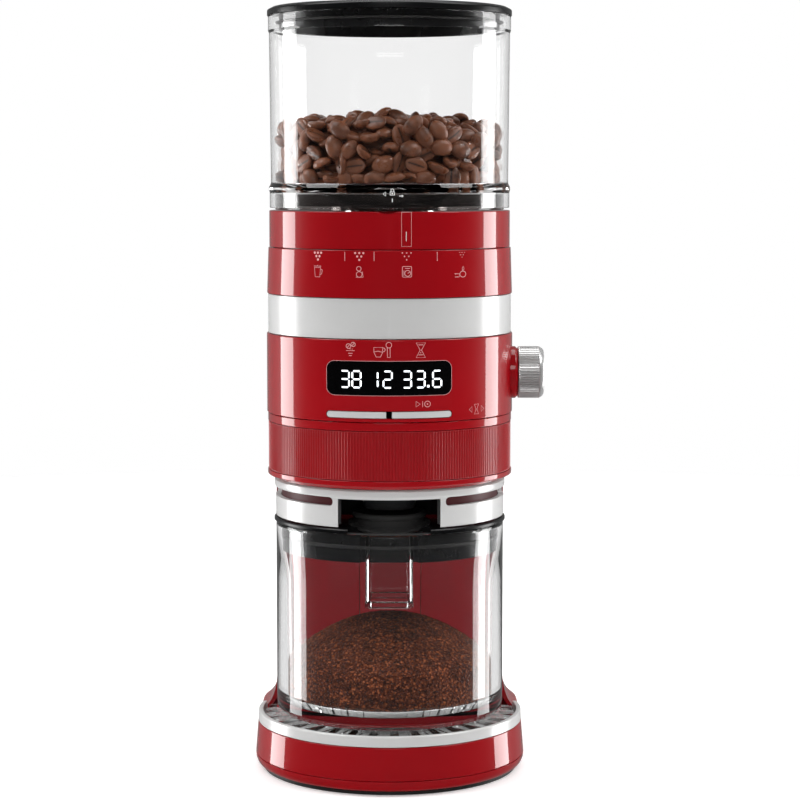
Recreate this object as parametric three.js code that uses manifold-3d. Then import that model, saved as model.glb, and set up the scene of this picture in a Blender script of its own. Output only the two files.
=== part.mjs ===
// Countertop conical-burr coffee grinder. Millimetres, +Z up.
// The origin is on the floor, on the axis of the hopper and the burrs; the front faces -Y.

import * as THREE from 'three';
import { mergeVertices } from 'three/addons/utils/BufferGeometryUtils.js';
import Module from 'manifold-3d';

const wasm = await Module();
wasm.setup();

// ---------------------------------------------------------------- driving dimensions
const GAP = 0.3; // clearance between neighbouring pieces
const WALL = 2.5; // moulded housing wall
const ROUND = 40; // sides of a large round piece
const SMALL_ROUND = 12; // sides of a pin, screw or shaft

const SPINE = 48; // length of the straight sides, from the burr axis to the round back
const REAR_TUCK = 2; // how much flatter the back is than a half circle
const TOWER = 66; // half width and front radius of the upper housing
const COLUMN = 62; // half width of the column behind the jar
const BASE_TOP_WIDTH = 71.7; // half width of the base at its top
const BASE_WIDTH = 73; // half width of the base at its seam
const COLUMN_FRONT_Y = 14; // where the sides of the column begin

const MAT_TOP = 2;
const PAN_TOP = 7.8;
const BASE_TOP = 25.5;
const TRIM_TOP = 31.4;
const TRAY_TOP = 31;
const COLUMN_TOP = 158.6;
const BOTTOM_TRIM_TOP = 163.4;
const SLEEVE_TOP = 189.2;
const LOWER_TRIM_TOP = 193.9;
const HOUSING_TOP = 236.6;
const BAND_TOP = 257.6;
const SCALE_TOP = 282.1;
const COLLAR_BOTTOM = 283.6;
const COLLAR_TOP = 301.9;
const HOPPER_BOTTOM = 303.3;
const HOPPER_RIM = 404.3;
const SHUTTER = 2.2; // thickness of the two shutter discs
const LID_TOP = 409;

const JAR_RADIUS = 61.4;
const JAR_WALL = 2.5;
const JAR_BOTTOM = 31.5;
const JAR_RIM = 134.7;
const JAR_LID_TOP = 137.6;
const NEST_RADIUS = 63.2; // hollow front of the column, around the jar
const SPOUT_Y = -36; // axis of the spout and of the jar's funnel
const CRADLE_RADIUS = 61.5;
const CRADLE_BOTTOM = 138.3;
const BAY_HALF_WIDTH = 26.5; // front gap of the cradle, where the funnel slides in

const KNOB_Z = 214.8;
const DISPLAY = { half: 32.3, low: 207.8, high: 225.8 };
const BUTTON = { near: 1.4, far: 32.2, low: 196.3, high: 199.6 };

const MODULE = 2.125; // gear tooth module
const PRESSURE_ANGLE = THREE.MathUtils.degToRad(25);
const TEETH = { burr: 30, small: 10, large: 30, pinion: 10 };
const IDLER_Y = (MODULE * (TEETH.burr + TEETH.small)) / 2;
const MOTOR_Y = IDLER_Y + (MODULE * (TEETH.large + TEETH.pinion)) / 2;
const UPPER_GEARS = 222; // underside of the burr gear
const LOWER_GEARS = 209; // underside of the motor stage
const GEAR_WIDTH = 8;
const LOWER_PLATE = 203;
const UPPER_PLATE = 233.2;
const PLATE = 3;

// ---------------------------------------------------------------- finishes
const FINISH = {
  redGloss: { color: 0x9a0d18, roughness: 0.2, metalness: 0.1 },
  clear: { color: 0xe8ecee, roughness: 0.05, metalness: 0, transparent: true, opacity: 0.35 },
  smoke: { color: 0x3c3e42, roughness: 0.3, metalness: 0 },
  black: { color: 0x141416, roughness: 0.3, metalness: 0 },
  rubber: { color: 0x17171a, roughness: 0.7, metalness: 0 },
  silver: { color: 0xc4c6c8, roughness: 0.3, metalness: 0.9 },
  steel: { color: 0x9ea1a5, roughness: 0.35, metalness: 1 },
  brass: { color: 0xb49a5a, roughness: 0.4, metalness: 1 },
  nylon: { color: 0xe6e2d6, roughness: 0.5, metalness: 0 },
  board: { color: 0x1d5a34, roughness: 0.6, metalness: 0 },
};

// ---------------------------------------------------------------- solids
// A closed geometry as a solid, its faces turned outwards if they pointed in.
function solidOf(geometry) {
  const bare = geometry.clone();
  bare.deleteAttribute('normal');
  bare.deleteAttribute('uv');
  const merged = mergeVertices(bare, 1e-4);
  const spots = merged.attributes.position.array;
  const corner = (i) => new THREE.Vector3(spots[3 * i], spots[3 * i + 1], spots[3 * i + 2]);
  const triangles = [];
  let volume = 0;
  for (let i = 0; i < merged.index.count; i += 3) {
    const [a, b, c] = merged.index.array.subarray(i, i + 3);
    if (a === b || b === c || c === a) continue;
    triangles.push([a, b, c]);
    volume += corner(a).dot(corner(b).cross(corner(c)));
  }
  const outward = volume > 0 ? triangles : triangles.map(([a, b, c]) => [a, c, b]);
  const mesh = new wasm.Mesh({
    numProp: 3,
    vertProperties: new Float32Array(spots),
    triVerts: new Uint32Array(outward.flat()),
  });
  return new wasm.Manifold(mesh);
}

function geometryOf(solid) {
  const { vertProperties, triVerts } = solid.getMesh();
  const geometry = new THREE.BufferGeometry();
  geometry.setAttribute('position', new THREE.BufferAttribute(vertProperties, 3));
  geometry.setIndex(new THREE.BufferAttribute(triVerts, 1));
  geometry.computeVertexNormals();
  return geometry;
}

// Turns a profile of [radius, height] points about Z. It closes on itself or starts on the axis.
function turned(profile, sides = ROUND) {
  const points = profile.map(([radius, height]) => new THREE.Vector2(radius, height));
  if (profile[0][0] > 0) points.push(points[0].clone());
  return solidOf(new THREE.LatheGeometry(points, sides).rotateX(Math.PI / 2));
}

function ring(outer, inner, low, high, sides = ROUND) {
  return turned([[inner, low], [outer, low], [outer, high], [inner, high]], sides);
}

function disc(radius, low, high, sides = ROUND) {
  return turned([[0, low], [radius, low], [radius, high], [0, high]], sides);
}

function box(x0, x1, y0, y1, z0, z1) {
  const geometry = new THREE.BoxGeometry(x1 - x0, y1 - y0, z1 - z0);
  return solidOf(geometry.translate((x0 + x1) / 2, (y0 + y1) / 2, (z0 + z1) / 2));
}

function prism(outline, low, high) {
  const shape = new THREE.Shape(outline);
  const geometry = new THREE.ExtrudeGeometry(shape, { depth: high - low, bevelEnabled: false });
  return solidOf(geometry.translate(0, 0, low));
}

// A solid through rings of points, all with the same count, from the lowest to the highest.
function loft(rings) {
  const count = rings[0].length;
  const spots = rings.flat().flatMap((point) => [point.x, point.y, point.z]);
  const cap = THREE.ShapeUtils.triangulateShape(rings[0].map((p) => new THREE.Vector2(p.x, p.y)), []);
  const last = (rings.length - 1) * count;
  const index = cap.flatMap(([a, b, c]) => [a, c, b, last + a, last + b, last + c]);
  for (let level = 0; level < rings.length - 1; level += 1) {
    for (let i = 0; i < count; i += 1) {
      const a = level * count + i;
      const b = level * count + ((i + 1) % count);
      index.push(a, b, b + count, a, b + count, a + count);
    }
  }
  const geometry = new THREE.BufferGeometry();
  geometry.setAttribute('position', new THREE.Float32BufferAttribute(spots, 3));
  geometry.setIndex(index);
  return solidOf(geometry);
}

// Plan of the grinder: a round front about the burr axis, straight sides and a round back.
function plan(halfWidth) {
  const front = new THREE.EllipseCurve(0, 0, halfWidth, halfWidth, Math.PI, 2 * Math.PI);
  const rearDepth = halfWidth - REAR_TUCK;
  const back = new THREE.EllipseCurve(0, SPINE, halfWidth, rearDepth, 0, Math.PI);
  return [...front.getPoints(20), ...back.getPoints(16)];
}

function planBlock(sections) {
  const lift = (halfWidth, z) => plan(halfWidth).map((p) => new THREE.Vector3(p.x, p.y, z));
  return loft(sections.map(([halfWidth, z]) => lift(halfWidth, z)));
}

function planWall(halfWidth, low, high, thickness = WALL) {
  const core = prism(plan(halfWidth - thickness), low - 1, high + 1);
  return prism(plan(halfWidth), low, high).subtract(core);
}

// A wedge of the front, from one angle to another, measured from -Y towards +X.
function wedge(fromDegrees, toDegrees, radius, low, high) {
  const steps = Math.ceil(Math.abs(toDegrees - fromDegrees) / 12);
  const outline = [new THREE.Vector2(0, 0)];
  for (let i = 0; i <= steps; i += 1) {
    const angle = THREE.MathUtils.degToRad(fromDegrees + ((toDegrees - fromDegrees) * i) / steps);
    outline.push(new THREE.Vector2(radius * Math.sin(angle), -radius * Math.cos(angle)));
  }
  return prism(outline, low, high);
}

function joined(solids) {
  return solids.reduce((whole, piece) => whole.add(piece));
}

function cutBy(solid, cutters) {
  return cutters.reduce((left, cutter) => left.subtract(cutter), solid);
}

function piece(name, solid, finish, place = [0, 0, 0]) {
  const mesh = new THREE.Mesh(geometryOf(solid), new THREE.MeshStandardMaterial(finish));
  mesh.name = name;
  mesh.position.set(...place);
  return mesh;
}

function group(...pieces) {
  const assembly = new THREE.Group();
  assembly.add(...pieces.flat());
  return assembly;
}

// ---------------------------------------------------------------- gears
// Half of one tooth: angle from the tooth's centre against radius, from the root to the tip.
function toothFlank(teeth) {
  const pitch = (MODULE * teeth) / 2;
  const base = pitch * Math.cos(PRESSURE_ANGLE);
  const root = pitch - 1.05 * MODULE;
  const tip = pitch + 0.8 * MODULE;
  const involute = (radius) => {
    const roll = Math.acos(Math.min(1, base / radius));
    return Math.tan(roll) - roll;
  };
  const backlash = 0.12 * MODULE;
  const halfAtPitch = Math.PI / (2 * teeth) - backlash / (2 * pitch);
  const start = Math.max(base, root);
  const radii = [start, tip];
  const angleAt = (radius) => halfAtPitch + involute(pitch) - involute(radius);
  const flank = radii.map((radius) => [angleAt(radius), radius]);
  return root < base ? [[angleAt(start), root], ...flank] : flank;
}

// A spur gear blank with a tooth centred on the given angle.
function gear(teeth, width, firstTooth) {
  const flank = toothFlank(teeth);
  const outline = [];
  for (let i = 0; i < teeth; i += 1) {
    const centre = firstTooth + (2 * Math.PI * i) / teeth;
    const rising = flank.map(([angle, radius]) => [centre - angle, radius]);
    const falling = flank.map(([angle, radius]) => [centre + angle, radius]).reverse();
    for (const [angle, radius] of [...rising, ...falling]) {
      outline.push(new THREE.Vector2(radius * Math.cos(angle), radius * Math.sin(angle)));
    }
  }
  return prism(outline, 0, width);
}

// ---------------------------------------------------------------- base
function baseParts() {
  const seamWidth = BASE_WIDTH;
  const screws = [[-46, -34], [46, -34], [-46, 66], [46, 66]];
  const at = (radius, low, high) => screws.map(([x, y]) => disc(radius, low, high, SMALL_ROUND).translate([x, y, 0]));

  const mat = prism(plan(seamWidth - 4), 0, MAT_TOP);

  const panBlock = planBlock([[seamWidth - 3.4, MAT_TOP + 0.1], [seamWidth - 1.1, 4], [seamWidth, PAN_TOP]]);
  const panHollow = prism(plan(seamWidth - 4), 5.2, PAN_TOP + 1);
  const pan = cutBy(panBlock, [panHollow, ...at(4.3, 1, 4), ...at(2.1, 1, 8)]);

  const shellBlock = planBlock([[seamWidth, PAN_TOP + GAP], [BASE_TOP_WIDTH, BASE_TOP]]);
  const shellHollow = prism(plan(seamWidth - 4), 0, BASE_TOP - WALL);
  const cableWay = box(-30, 30, 76, 98, 20, 30);
  const glandHole = disc(7.3, 0, 30, 20).rotate([-90, 0, 0]).translate([0, 100, 16.5]);
  const bosses = at(4, PAN_TOP + 1, BASE_TOP - WALL + 0.5);
  const shell = cutBy(
    joined([cutBy(shellBlock, [shellHollow, cableWay, glandHole]), ...bosses]),
    at(2.1, 0, BASE_TOP - WALL),
  );

  const rearCut = box(-90, 90, COLUMN_FRONT_Y - GAP, 90, 20, 40);
  const trim = ring(BASE_TOP_WIDTH, BASE_TOP_WIDTH - 2.8, BASE_TOP + GAP, TRIM_TOP).subtract(rearCut);
  const trayFront = disc(BASE_TOP_WIDTH - 3.1, BASE_TOP + GAP, 28.4).subtract(rearCut);
  const tray = joined([
    trayFront,
    disc(NEST_RADIUS - 0.6, BASE_TOP + GAP, 28.4),
    ring(58, 50, 28, TRAY_TOP),
  ]);

  const gland = ring(6.9, 3.2, 0, 9, 20).rotate([-90, 0, 0]);
  const screw = joined([disc(3.9, 0, 1.5, SMALL_ROUND), disc(1.7, 1.4, 15, SMALL_ROUND)]);
  return group(
    piece('base_mat', mat, FINISH.rubber),
    piece('base_pan', pan, FINISH.redGloss),
    piece('base_shell', shell, FINISH.redGloss),
    piece('base_trim_ring', trim, FINISH.silver),
    piece('jar_tray', tray, FINISH.clear),
    piece('cord_gland', gland, FINISH.rubber, [0, 110.5, 16.5]),
    screws.map(([x, y], i) => piece(`base_screw_${i + 1}`, screw, FINISH.steel, [x, y, MAT_TOP + 0.3])),
  );
}

// ---------------------------------------------------------------- column
function columnParts() {
  const foot = BASE_TOP + GAP;
  const flare = [[9.4, 0], [6.2, 2.6], [3.4, 6.4], [1.3, 12], [0, 21]];
  const sections = flare.map(([out, up]) => [COLUMN + out, foot + up]);
  const outside = planBlock([...sections, [COLUMN, COLUMN_TOP]]);
  const hollow = prism(plan(COLUMN - WALL), 0, 200);
  const frontCut = box(-90, 90, -90, COLUMN_FRONT_Y, 0, 200);
  const nest = disc(NEST_RADIUS, 0, 200);
  const vents = [];
  for (let i = 0; i < 8; i += 1) {
    vents.push(box(-21, 21, 90, 120, 112 + 5 * i, 114.4 + 5 * i));
  }
  const shell = cutBy(outside, [hollow, frontCut, nest, ...vents]);

  const reach = COLUMN - WALL - GAP;
  const wall = ring(NEST_RADIUS + WALL, NEST_RADIUS, foot, COLUMN_TOP);
  const strip = box(-reach, reach, 0, 90, 0, 200);
  const window = box(-18.8, 18.8, 50, 80, 34, 100);
  const front = wall.intersect(strip).subtract(window);
  const panel = box(-18.5, 18.5, 64.2, 66.2, 34.3, 99.7);

  const board = joined([
    box(-26, 26, 88, 89.6, 38, 100),
    box(-20, -4, 76, 88.2, 42, 62),
    box(2, 12, 78, 88.2, 44, 66),
    disc(6, 70, 90, SMALL_ROUND).translate([17, 82.4, 0]),
  ]);
  return group(
    piece('column_shell', shell, FINISH.redGloss),
    piece('column_front', front, FINISH.redGloss),
    piece('column_panel', panel, FINISH.redGloss),
    piece('power_board', board, FINISH.board),
  );
}

// ---------------------------------------------------------------- spout and cradle under the housing
function spoutParts() {
  const top = COLUMN_TOP;
  const rear = box(-90, 90, 12, 90, 100, 200);
  const slots = [-1, 1].flatMap((side) => [
    wedge(side * 31, side * 68, 80, 147, 152.4),
    wedge(side * 80, side * 104, 80, 147, 152.4),
  ]);
  const bayGap = box(-BAY_HALF_WIDTH, BAY_HALF_WIDTH, -90, 0, 130, 153.5);
  const frame = cutBy(ring(CRADLE_RADIUS, CRADLE_RADIUS - 2.8, CRADLE_BOTTOM, top), [rear, bayGap, ...slots]);

  const inside = CRADLE_RADIUS - 2.8 - GAP;
  const linerGap = box(-BAY_HALF_WIDTH - 2.2, BAY_HALF_WIDTH + 2.2, -90, 0, 100, 153.4);
  const liner = cutBy(ring(inside, inside - 3, 146, 154.5), [rear, linerGap]);
  const bayWalls = box(-BAY_HALF_WIDTH - 1.8, BAY_HALF_WIDTH + 1.8, -60, -9, CRADLE_BOTTOM + 0.2, 155);
  const bayHollow = box(-BAY_HALF_WIDTH - 0.1, BAY_HALF_WIDTH + 0.1, -70, -11, 130, 160);
  const bay = bayWalls.subtract(bayHollow).intersect(disc(inside - 3.3, 130, 160));

  const nozzleHole = disc(14.4, 100, 200, 24).translate([0, SPOUT_Y, 0]);
  const roof = cutBy(disc(inside, 154.8, top), [nozzleHole, rear]);
  const nozzle = ring(14, 11.4, 146.5, 165.6, 24).translate([0, SPOUT_Y, 0]);
  return group(
    piece('spout_frame', frame, FINISH.silver),
    piece('neck_liner', liner, FINISH.redGloss),
    piece('spout_bay', bay.add(roof), FINISH.black),
    piece('spout_nozzle', nozzle, FINISH.rubber),
  );
}

// ---------------------------------------------------------------- upper housing
function housingParts() {
  const buttonSlot = (side) => {
    const [x0, x1] = side < 0 ? [-BUTTON.far, -BUTTON.near] : [BUTTON.near, BUTTON.far];
    return box(x0 - GAP, x1 + GAP, -80, -40, BUTTON.low - GAP, BUTTON.high + GAP);
  };
  const windowCut = box(-DISPLAY.half, DISPLAY.half, -80, -40, DISPLAY.low, DISPLAY.high);
  const knobHole = disc(14.3, 0, 40, 24).rotate([0, 90, 0]).translate([50, 0, KNOB_Z]);
  const tube = planWall(TOWER, LOWER_TRIM_TOP + GAP, HOUSING_TOP);
  const shoulder = prism(plan(TOWER - 1), HOUSING_TOP - 1.8, HOUSING_TOP).subtract(disc(60.5, 200, 300));
  const housing = cutBy(joined([tube, shoulder]), [windowCut, knobHole, buttonSlot(-1), buttonSlot(1)]);

  const lowerTrim = planWall(TOWER - 0.5, SLEEVE_TOP + GAP, LOWER_TRIM_TOP, 3);
  const sleeve = planWall(TOWER - 0.7, BOTTOM_TRIM_TOP + GAP, SLEEVE_TOP, 2.8);
  const trimBlock = planBlock([[COLUMN, 158.9], [TOWER - 0.3, 160.6], [TOWER - 0.3, BOTTOM_TRIM_TOP]]);
  const bottomTrim = trimBlock.subtract(prism(plan(TOWER - 6), 150, 170));
  const deck = cutBy(prism(plan(TOWER - 6.3), 159.2, 162.2), [
    disc(14.4, 100, 200, 24).translate([0, SPOUT_Y, 0]),
    box(-24, 24, 65, 120, 100, 200),
  ]);

  const band = ring(65.2, 62.6, HOUSING_TOP + GAP, BAND_TOP);
  const scale = turned([[62.2, BAND_TOP + GAP], [65.7, BAND_TOP + GAP], [64.9, SCALE_TOP], [62.2, SCALE_TOP]]);

  const lensCurve = ring(65.9, 63.7, DISPLAY.low + GAP, DISPLAY.high - GAP);
  const lens = lensCurve.intersect(box(-DISPLAY.half + GAP, DISPLAY.half - GAP, -80, 0, 200, 230));
  const displayBoard = box(-28, 28, -55.8, -54.3, 202, 230).add(box(-22, 22, -59.6, -55.7, 210, 224));
  const boss = ring(14, 4.2, 0, 6.6, 24).rotate([0, 90, 0]);
  const encoder = box(50, 60.6, -7, 7, -7, 7).subtract(disc(3.4, 40, 70, SMALL_ROUND).rotate([0, 90, 0]));
  return group(
    piece('main_housing', housing, FINISH.redGloss),
    piece('lower_trim', lowerTrim, FINISH.redGloss),
    piece('ribbed_sleeve', sleeve, FINISH.redGloss),
    piece('bottom_trim', bottomTrim, FINISH.redGloss),
    piece('lower_deck', deck, FINISH.black),
    piece('silver_band', band, FINISH.silver),
    piece('scale_ring', scale, FINISH.redGloss),
    piece('display_lens', lens, FINISH.black),
    piece('display_board', displayBoard, FINISH.board),
    piece('knob_boss', boss, FINISH.redGloss, [62.2, 0, KNOB_Z]),
    piece('knob_encoder', encoder, FINISH.black, [0, 0, KNOB_Z]),
  );
}

function buttonPart(name, side) {
  const [x0, x1] = side < 0 ? [-BUTTON.far, -BUTTON.near] : [BUTTON.near, BUTTON.far];
  const face = ring(TOWER + 0.2, 62, BUTTON.low, BUTTON.high).intersect(box(x0, x1, -80, 0, 190, 210));
  const middle = (x0 + x1) / 2;
  const stem = box(middle - 4, middle + 4, -63, -57, BUTTON.low, BUTTON.high);
  return piece(name, face.add(stem), FINISH.silver);
}

function knobParts() {
  const skirt = 13.9;
  const length = 13.7;
  const cap = turned([
    [0, 9], [3.3, 9], [3.3, 0.6], [5.6, 0.6], [5.6, 10.6], [12, 10.6], [12, 0],
    [skirt, 0], [skirt, length - 1.6], [skirt - 1.6, length], [0, length],
  ], 24);
  const shaft = disc(3, 0, 26.5, SMALL_ROUND);
  const knob = group(piece('control_knob', cap, FINISH.silver, [0, 0, 18]), piece('knob_shaft', shaft, FINISH.steel));
  knob.position.set(51.1, 0, KNOB_Z);
  knob.rotation.y = Math.PI / 2;
  return knob;
}

// ---------------------------------------------------------------- drive train
function chassisParts() {
  const outline = plan(TOWER - 3.8);
  const frontCut = box(-90, 90, -90, -37, 190, 250);
  const bearingSeat = disc(9.3, 190, 250, 20);
  const idlerHole = disc(3.4, 190, 250, SMALL_ROUND).translate([0, IDLER_Y, 0]);
  const motorHole = disc(6, 190, 250, SMALL_ROUND).translate([0, MOTOR_Y, 0]);
  const plateAt = (z) => cutBy(prism(outline, z, z + PLATE), [frontCut, bearingSeat]);
  const pin = disc(3, LOWER_PLATE, UPPER_PLATE + PLATE, SMALL_ROUND).translate([0, IDLER_Y, 0]);
  const pillar = disc(4, LOWER_PLATE, UPPER_PLATE - GAP, SMALL_ROUND);
  const pillars = [[-47, -20], [47, -20], [-40, 36], [40, 36]].map(([x, y]) => pillar.translate([x, y, 0]));
  const lowerPlate = joined([plateAt(LOWER_PLATE).subtract(motorHole), pin, ...pillars]);
  const upperPlate = plateAt(UPPER_PLATE).intersect(disc(60.2, 200, 250)).subtract(idlerHole);
  const bearing = ring(9, 4.3, 0, 4, 20);

  const can = cutBy(disc(18.5, 128, LOWER_PLATE - GAP, 32), [disc(2.9, 188, 210, SMALL_ROUND)]);
  const chamberWall = turned([[9.3, 236.5], [38, 236.5], [38, 282], [35, 282], [35, 239.5], [9.3, 239.5]]);
  const outlet = box(-10.4, 10.4, -45, -25, 240.5, 251);
  const chamber = chamberWall.subtract(outlet);
  return group(
    piece('gear_frame', lowerPlate, FINISH.steel),
    piece('upper_plate', upperPlate, FINISH.steel),
    piece('lower_bearing', bearing, FINISH.steel, [0, 0, LOWER_PLATE - 0.5]),
    piece('upper_bearing', bearing, FINISH.steel, [0, 0, UPPER_PLATE + 1.4]),
    piece('motor_can', can, FINISH.steel, [0, MOTOR_Y, 0]),
    piece('burr_chamber', chamber, FINISH.black),
    piece('grounds_duct', ductSolid(), FINISH.black),
  );
}

// The duct is drawn in the Y-Z plane, then given its width along X.
function ductSolid() {
  const slab = (points, halfWidth) => {
    const shape = new THREE.Shape(points.map(([y, z]) => new THREE.Vector2(y, z)));
    const geometry = new THREE.ExtrudeGeometry(shape, { depth: 2 * halfWidth, bevelEnabled: false });
    geometry.rotateX(Math.PI / 2).rotateZ(Math.PI / 2);
    return solidOf(geometry.translate(-halfWidth, 0, 0));
  };
  const outside = slab([
    [-39, 253], [-53.5, 253], [-53.5, 200], [-49, 166], [-24, 166], [-24, 172], [-39, 203],
  ], 12.4);
  const inside = slab([
    [-38, 251], [-51.5, 251], [-51.5, 200.3], [-47.2, 165], [-26, 165], [-26, 171.5],
    [-41, 203.5], [-41, 240.5], [-38, 240.5],
  ], 10.4);
  return outside.subtract(inside);
}

// A toothed cone: every second point of each ring is deeper, and the rings turn with height.
function toothedCone(teeth, depth, levels) {
  const twistPerMillimetre = 0.03;
  const ringAt = ([radius, z]) => {
    const spots = [];
    for (let i = 0; i < 2 * teeth; i += 1) {
      const angle = (Math.PI * i) / teeth + twistPerMillimetre * z;
      const reach = i % 2 ? radius - depth : radius;
      spots.push(new THREE.Vector3(reach * Math.cos(angle), reach * Math.sin(angle), z));
    }
    return spots;
  };
  return loft(levels.map(ringAt));
}

function burrDriveParts() {
  const burr = toothedCone(12, 2.2, [[20.6, 0], [20.2, 5], [17, 13], [9.6, 22]]);
  const bore = disc(4.3, -5, 30, SMALL_ROUND);
  const hexHead = turned([[0, 284.3], [7, 284.3], [7, 286], [3, 287.6], [0, 287.6]], 6);
  const shaft = joined([disc(4, 199, 285, SMALL_ROUND), hexHead]);
  const vanes = [0, 1, 2, 3].map((i) => box(10, 29, -1, 1, 2, 8).rotate([0, 0, 90 * i]));
  const impeller = joined([disc(30, 0, 2.4, 32), disc(11, 0, 17, 24), ...vanes]).subtract(bore);
  const wheel = gear(TEETH.burr, GEAR_WIDTH, Math.PI / 2).subtract(bore);
  return group(
    piece('burr_shaft', shaft, FINISH.steel),
    piece('inner_burr', burr.subtract(bore), FINISH.steel, [0, 0, 262]),
    piece('impeller', impeller, FINISH.nylon, [0, 0, 244]),
    piece('burr_gear', wheel, FINISH.nylon, [0, 0, UPPER_GEARS]),
  );
}

function idlerPart() {
  const small = gear(TEETH.small, 10, -Math.PI / 2 + Math.PI / TEETH.small);
  const large = gear(TEETH.large, GEAR_WIDTH, Math.PI / 2);
  const hub = disc(7, 0, 14, 20);
  const upper = UPPER_GEARS - LOWER_GEARS - 1;
  const blank = joined([large, hub, small.translate([0, 0, upper])]);
  return piece('idler_gear', blank.subtract(disc(3.3, -5, 40, SMALL_ROUND)), FINISH.nylon, [0, IDLER_Y, LOWER_GEARS]);
}

function motorRotorPart() {
  const pinion = gear(TEETH.pinion, GEAR_WIDTH + 2, -Math.PI / 2 + Math.PI / TEETH.pinion);
  const shaft = disc(2.5, -19, 12, SMALL_ROUND);
  return piece('motor_pinion', pinion.add(shaft), FINISH.brass, [0, MOTOR_Y, LOWER_GEARS - 1]);
}

// ---------------------------------------------------------------- grind-size collar and outer burr
function collarParts() {
  const collar = turned([
    [61.4, COLLAR_BOTTOM], [64.4, COLLAR_BOTTOM], [64.4, COLLAR_TOP], [28.4, COLLAR_TOP],
    [28.4, 299.2], [61.4, 299.2],
  ]);
  const carrier = turned([
    [26, 258], [34, 258], [34, 294.5], [44, 294.5], [44, 298.9], [28.4, 298.9], [28.4, 261.5], [26, 261.5],
  ], 40);
  const cavity = toothedCone(16, -2, [[21.7, -1], [21.4, 5], [19.2, 13], [16.2, 23]]);
  const outerBurr = disc(28, 0, 22, 40).subtract(cavity);
  return group(
    piece('grind_collar', collar, FINISH.redGloss),
    piece('burr_carrier', carrier, FINISH.black),
    piece('outer_burr', outerBurr, FINISH.steel, [0, 0, 261.9]),
  );
}

// ---------------------------------------------------------------- hopper, its gate and its lid
// A thin disc with four sector windows; two of them, one over the other, open and shut the hopper.
function shutterDisc(radius, low) {
  const high = low + SHUTTER;
  const hub = disc(6, low - 1, high + 1, 24);
  const window = (turn) => wedge(turn, turn + 45, 20, low - 1, high + 1).subtract(hub);
  return cutBy(disc(radius, low, high), [0, 90, 180, 270].map(window));
}

function hopperParts() {
  const shell = turned([
    [24, 291], [24, 304.7], [42.4, 312.2], [61.6, 312.8], [61.9, HOPPER_BOTTOM],
    [64.1, HOPPER_BOTTOM], [63.4, 318], [64.2, 399.4], [64.6, HOPPER_RIM], [62.4, HOPPER_RIM],
    [61.2, 315.2], [42, 314.4], [22, 306.2], [22, 291],
  ]);
  return group(
    piece('hopper_shell', shell, FINISH.clear),
    piece('hopper_shutter', shutterDisc(21.8, 291), FINISH.smoke),
  );
}

function gateParts() {
  const gate = turned([
    [24.4, 288.2], [27, 288.2], [27, 302.3], [61.2, 302.3], [61.2, 310.6], [59.2, 310.6],
    [59.2, 304.4], [24.4, 304.4],
  ]);
  return group(
    piece('hopper_gate', gate, FINISH.smoke),
    piece('gate_shutter', shutterDisc(24.2, 288.2), FINISH.smoke),
  );
}

function lidParts() {
  const lid = turned([
    [0, 406.6], [56.4, 406.6], [56.4, 396.6], [58.6, 396.6], [58.6, 399.6], [57.6, 399.6],
    [57.6, 401.6], [58.6, 401.6], [58.6, HOPPER_RIM + GAP], [65.1, HOPPER_RIM + GAP],
    [65.1, 407.6], [63.7, LID_TOP], [0, LID_TOP],
  ]);
  const seal = ring(60.6, 57.9, 399.9, 401.3);
  return group(
    piece('hopper_lid', lid, FINISH.black),
    piece('lid_seal', seal, FINISH.rubber),
  );
}

// ---------------------------------------------------------------- grounds jar
function jarParts() {
  const inside = JAR_RADIUS - JAR_WALL;
  const glass = turned([
    [0, JAR_BOTTOM], [53, JAR_BOTTOM], [JAR_RADIUS, 40], [JAR_RADIUS, JAR_RIM],
    [inside, JAR_RIM], [inside, 41.5], [52, 36], [0, 36],
  ]);
  const funnelHole = disc(16.4, 100, 160, 28).translate([0, SPOUT_Y, 0]);
  const chuteNotch = box(-14.6, 14.6, -70, -38, 110, 134);
  const lidBlank = turned([
    [0, 134.8], [56.2, 134.8], [56.2, 119.9], [58.4, 119.9], [58.4, 136], [62.4, 136],
    [62.4, JAR_LID_TOP], [0, JAR_LID_TOP],
  ]);
  const lid = cutBy(lidBlank, [funnelHole, chuteNotch]);
  const seal = ring(61.2, 59, 135, 135.7);
  const funnel = turned([
    [11.6, 133.2], [16, 133.2], [16, 137.9], [22, 137.9], [22, 139.4], [19.8, 139.8], [19.8, 144.7],
    [17.6, 144.7], [17.2, 140.4], [11.6, 135.4],
  ], 24).translate([0, SPOUT_Y, 0]);
  const chute = cutBy(box(-12.3, 12.3, -55.6, -26, 95.6, 132.8), [
    box(-10.5, 10.5, -53.8, -20, 90, 131),
    disc(10.3, 130, 134, 24).translate([0, SPOUT_Y, 0]),
  ]);
  return group(
    piece('jar_glass', glass, FINISH.clear),
    piece('jar_lid', lid, FINISH.black),
    piece('jar_lid_seal', seal, FINISH.rubber),
    piece('spout_funnel', funnel, FINISH.rubber),
    piece('jar_chute', chute, FINISH.clear),
  );
}

// ---------------------------------------------------------------- the whole grinder
const grinder = new THREE.Group();
grinder.add(
  baseParts(),
  columnParts(),
  spoutParts(),
  housingParts(),
  chassisParts(),
  buttonPart('left_button', -1),
  buttonPart('right_button', 1),
  knobParts(),
  burrDriveParts(),
  idlerPart(),
  motorRotorPart(),
  collarParts(),
  gateParts(),
  hopperParts(),
  lidParts(),
  jarParts(),
);

export default grinder;
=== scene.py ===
"""Countertop burr coffee grinder: the pieces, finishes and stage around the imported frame."""

import math
import random

import bmesh
import bpy
from bpy.props import (FloatProperty, FloatVectorProperty, IntProperty, PointerProperty)
from mathutils import Matrix, Vector


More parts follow.
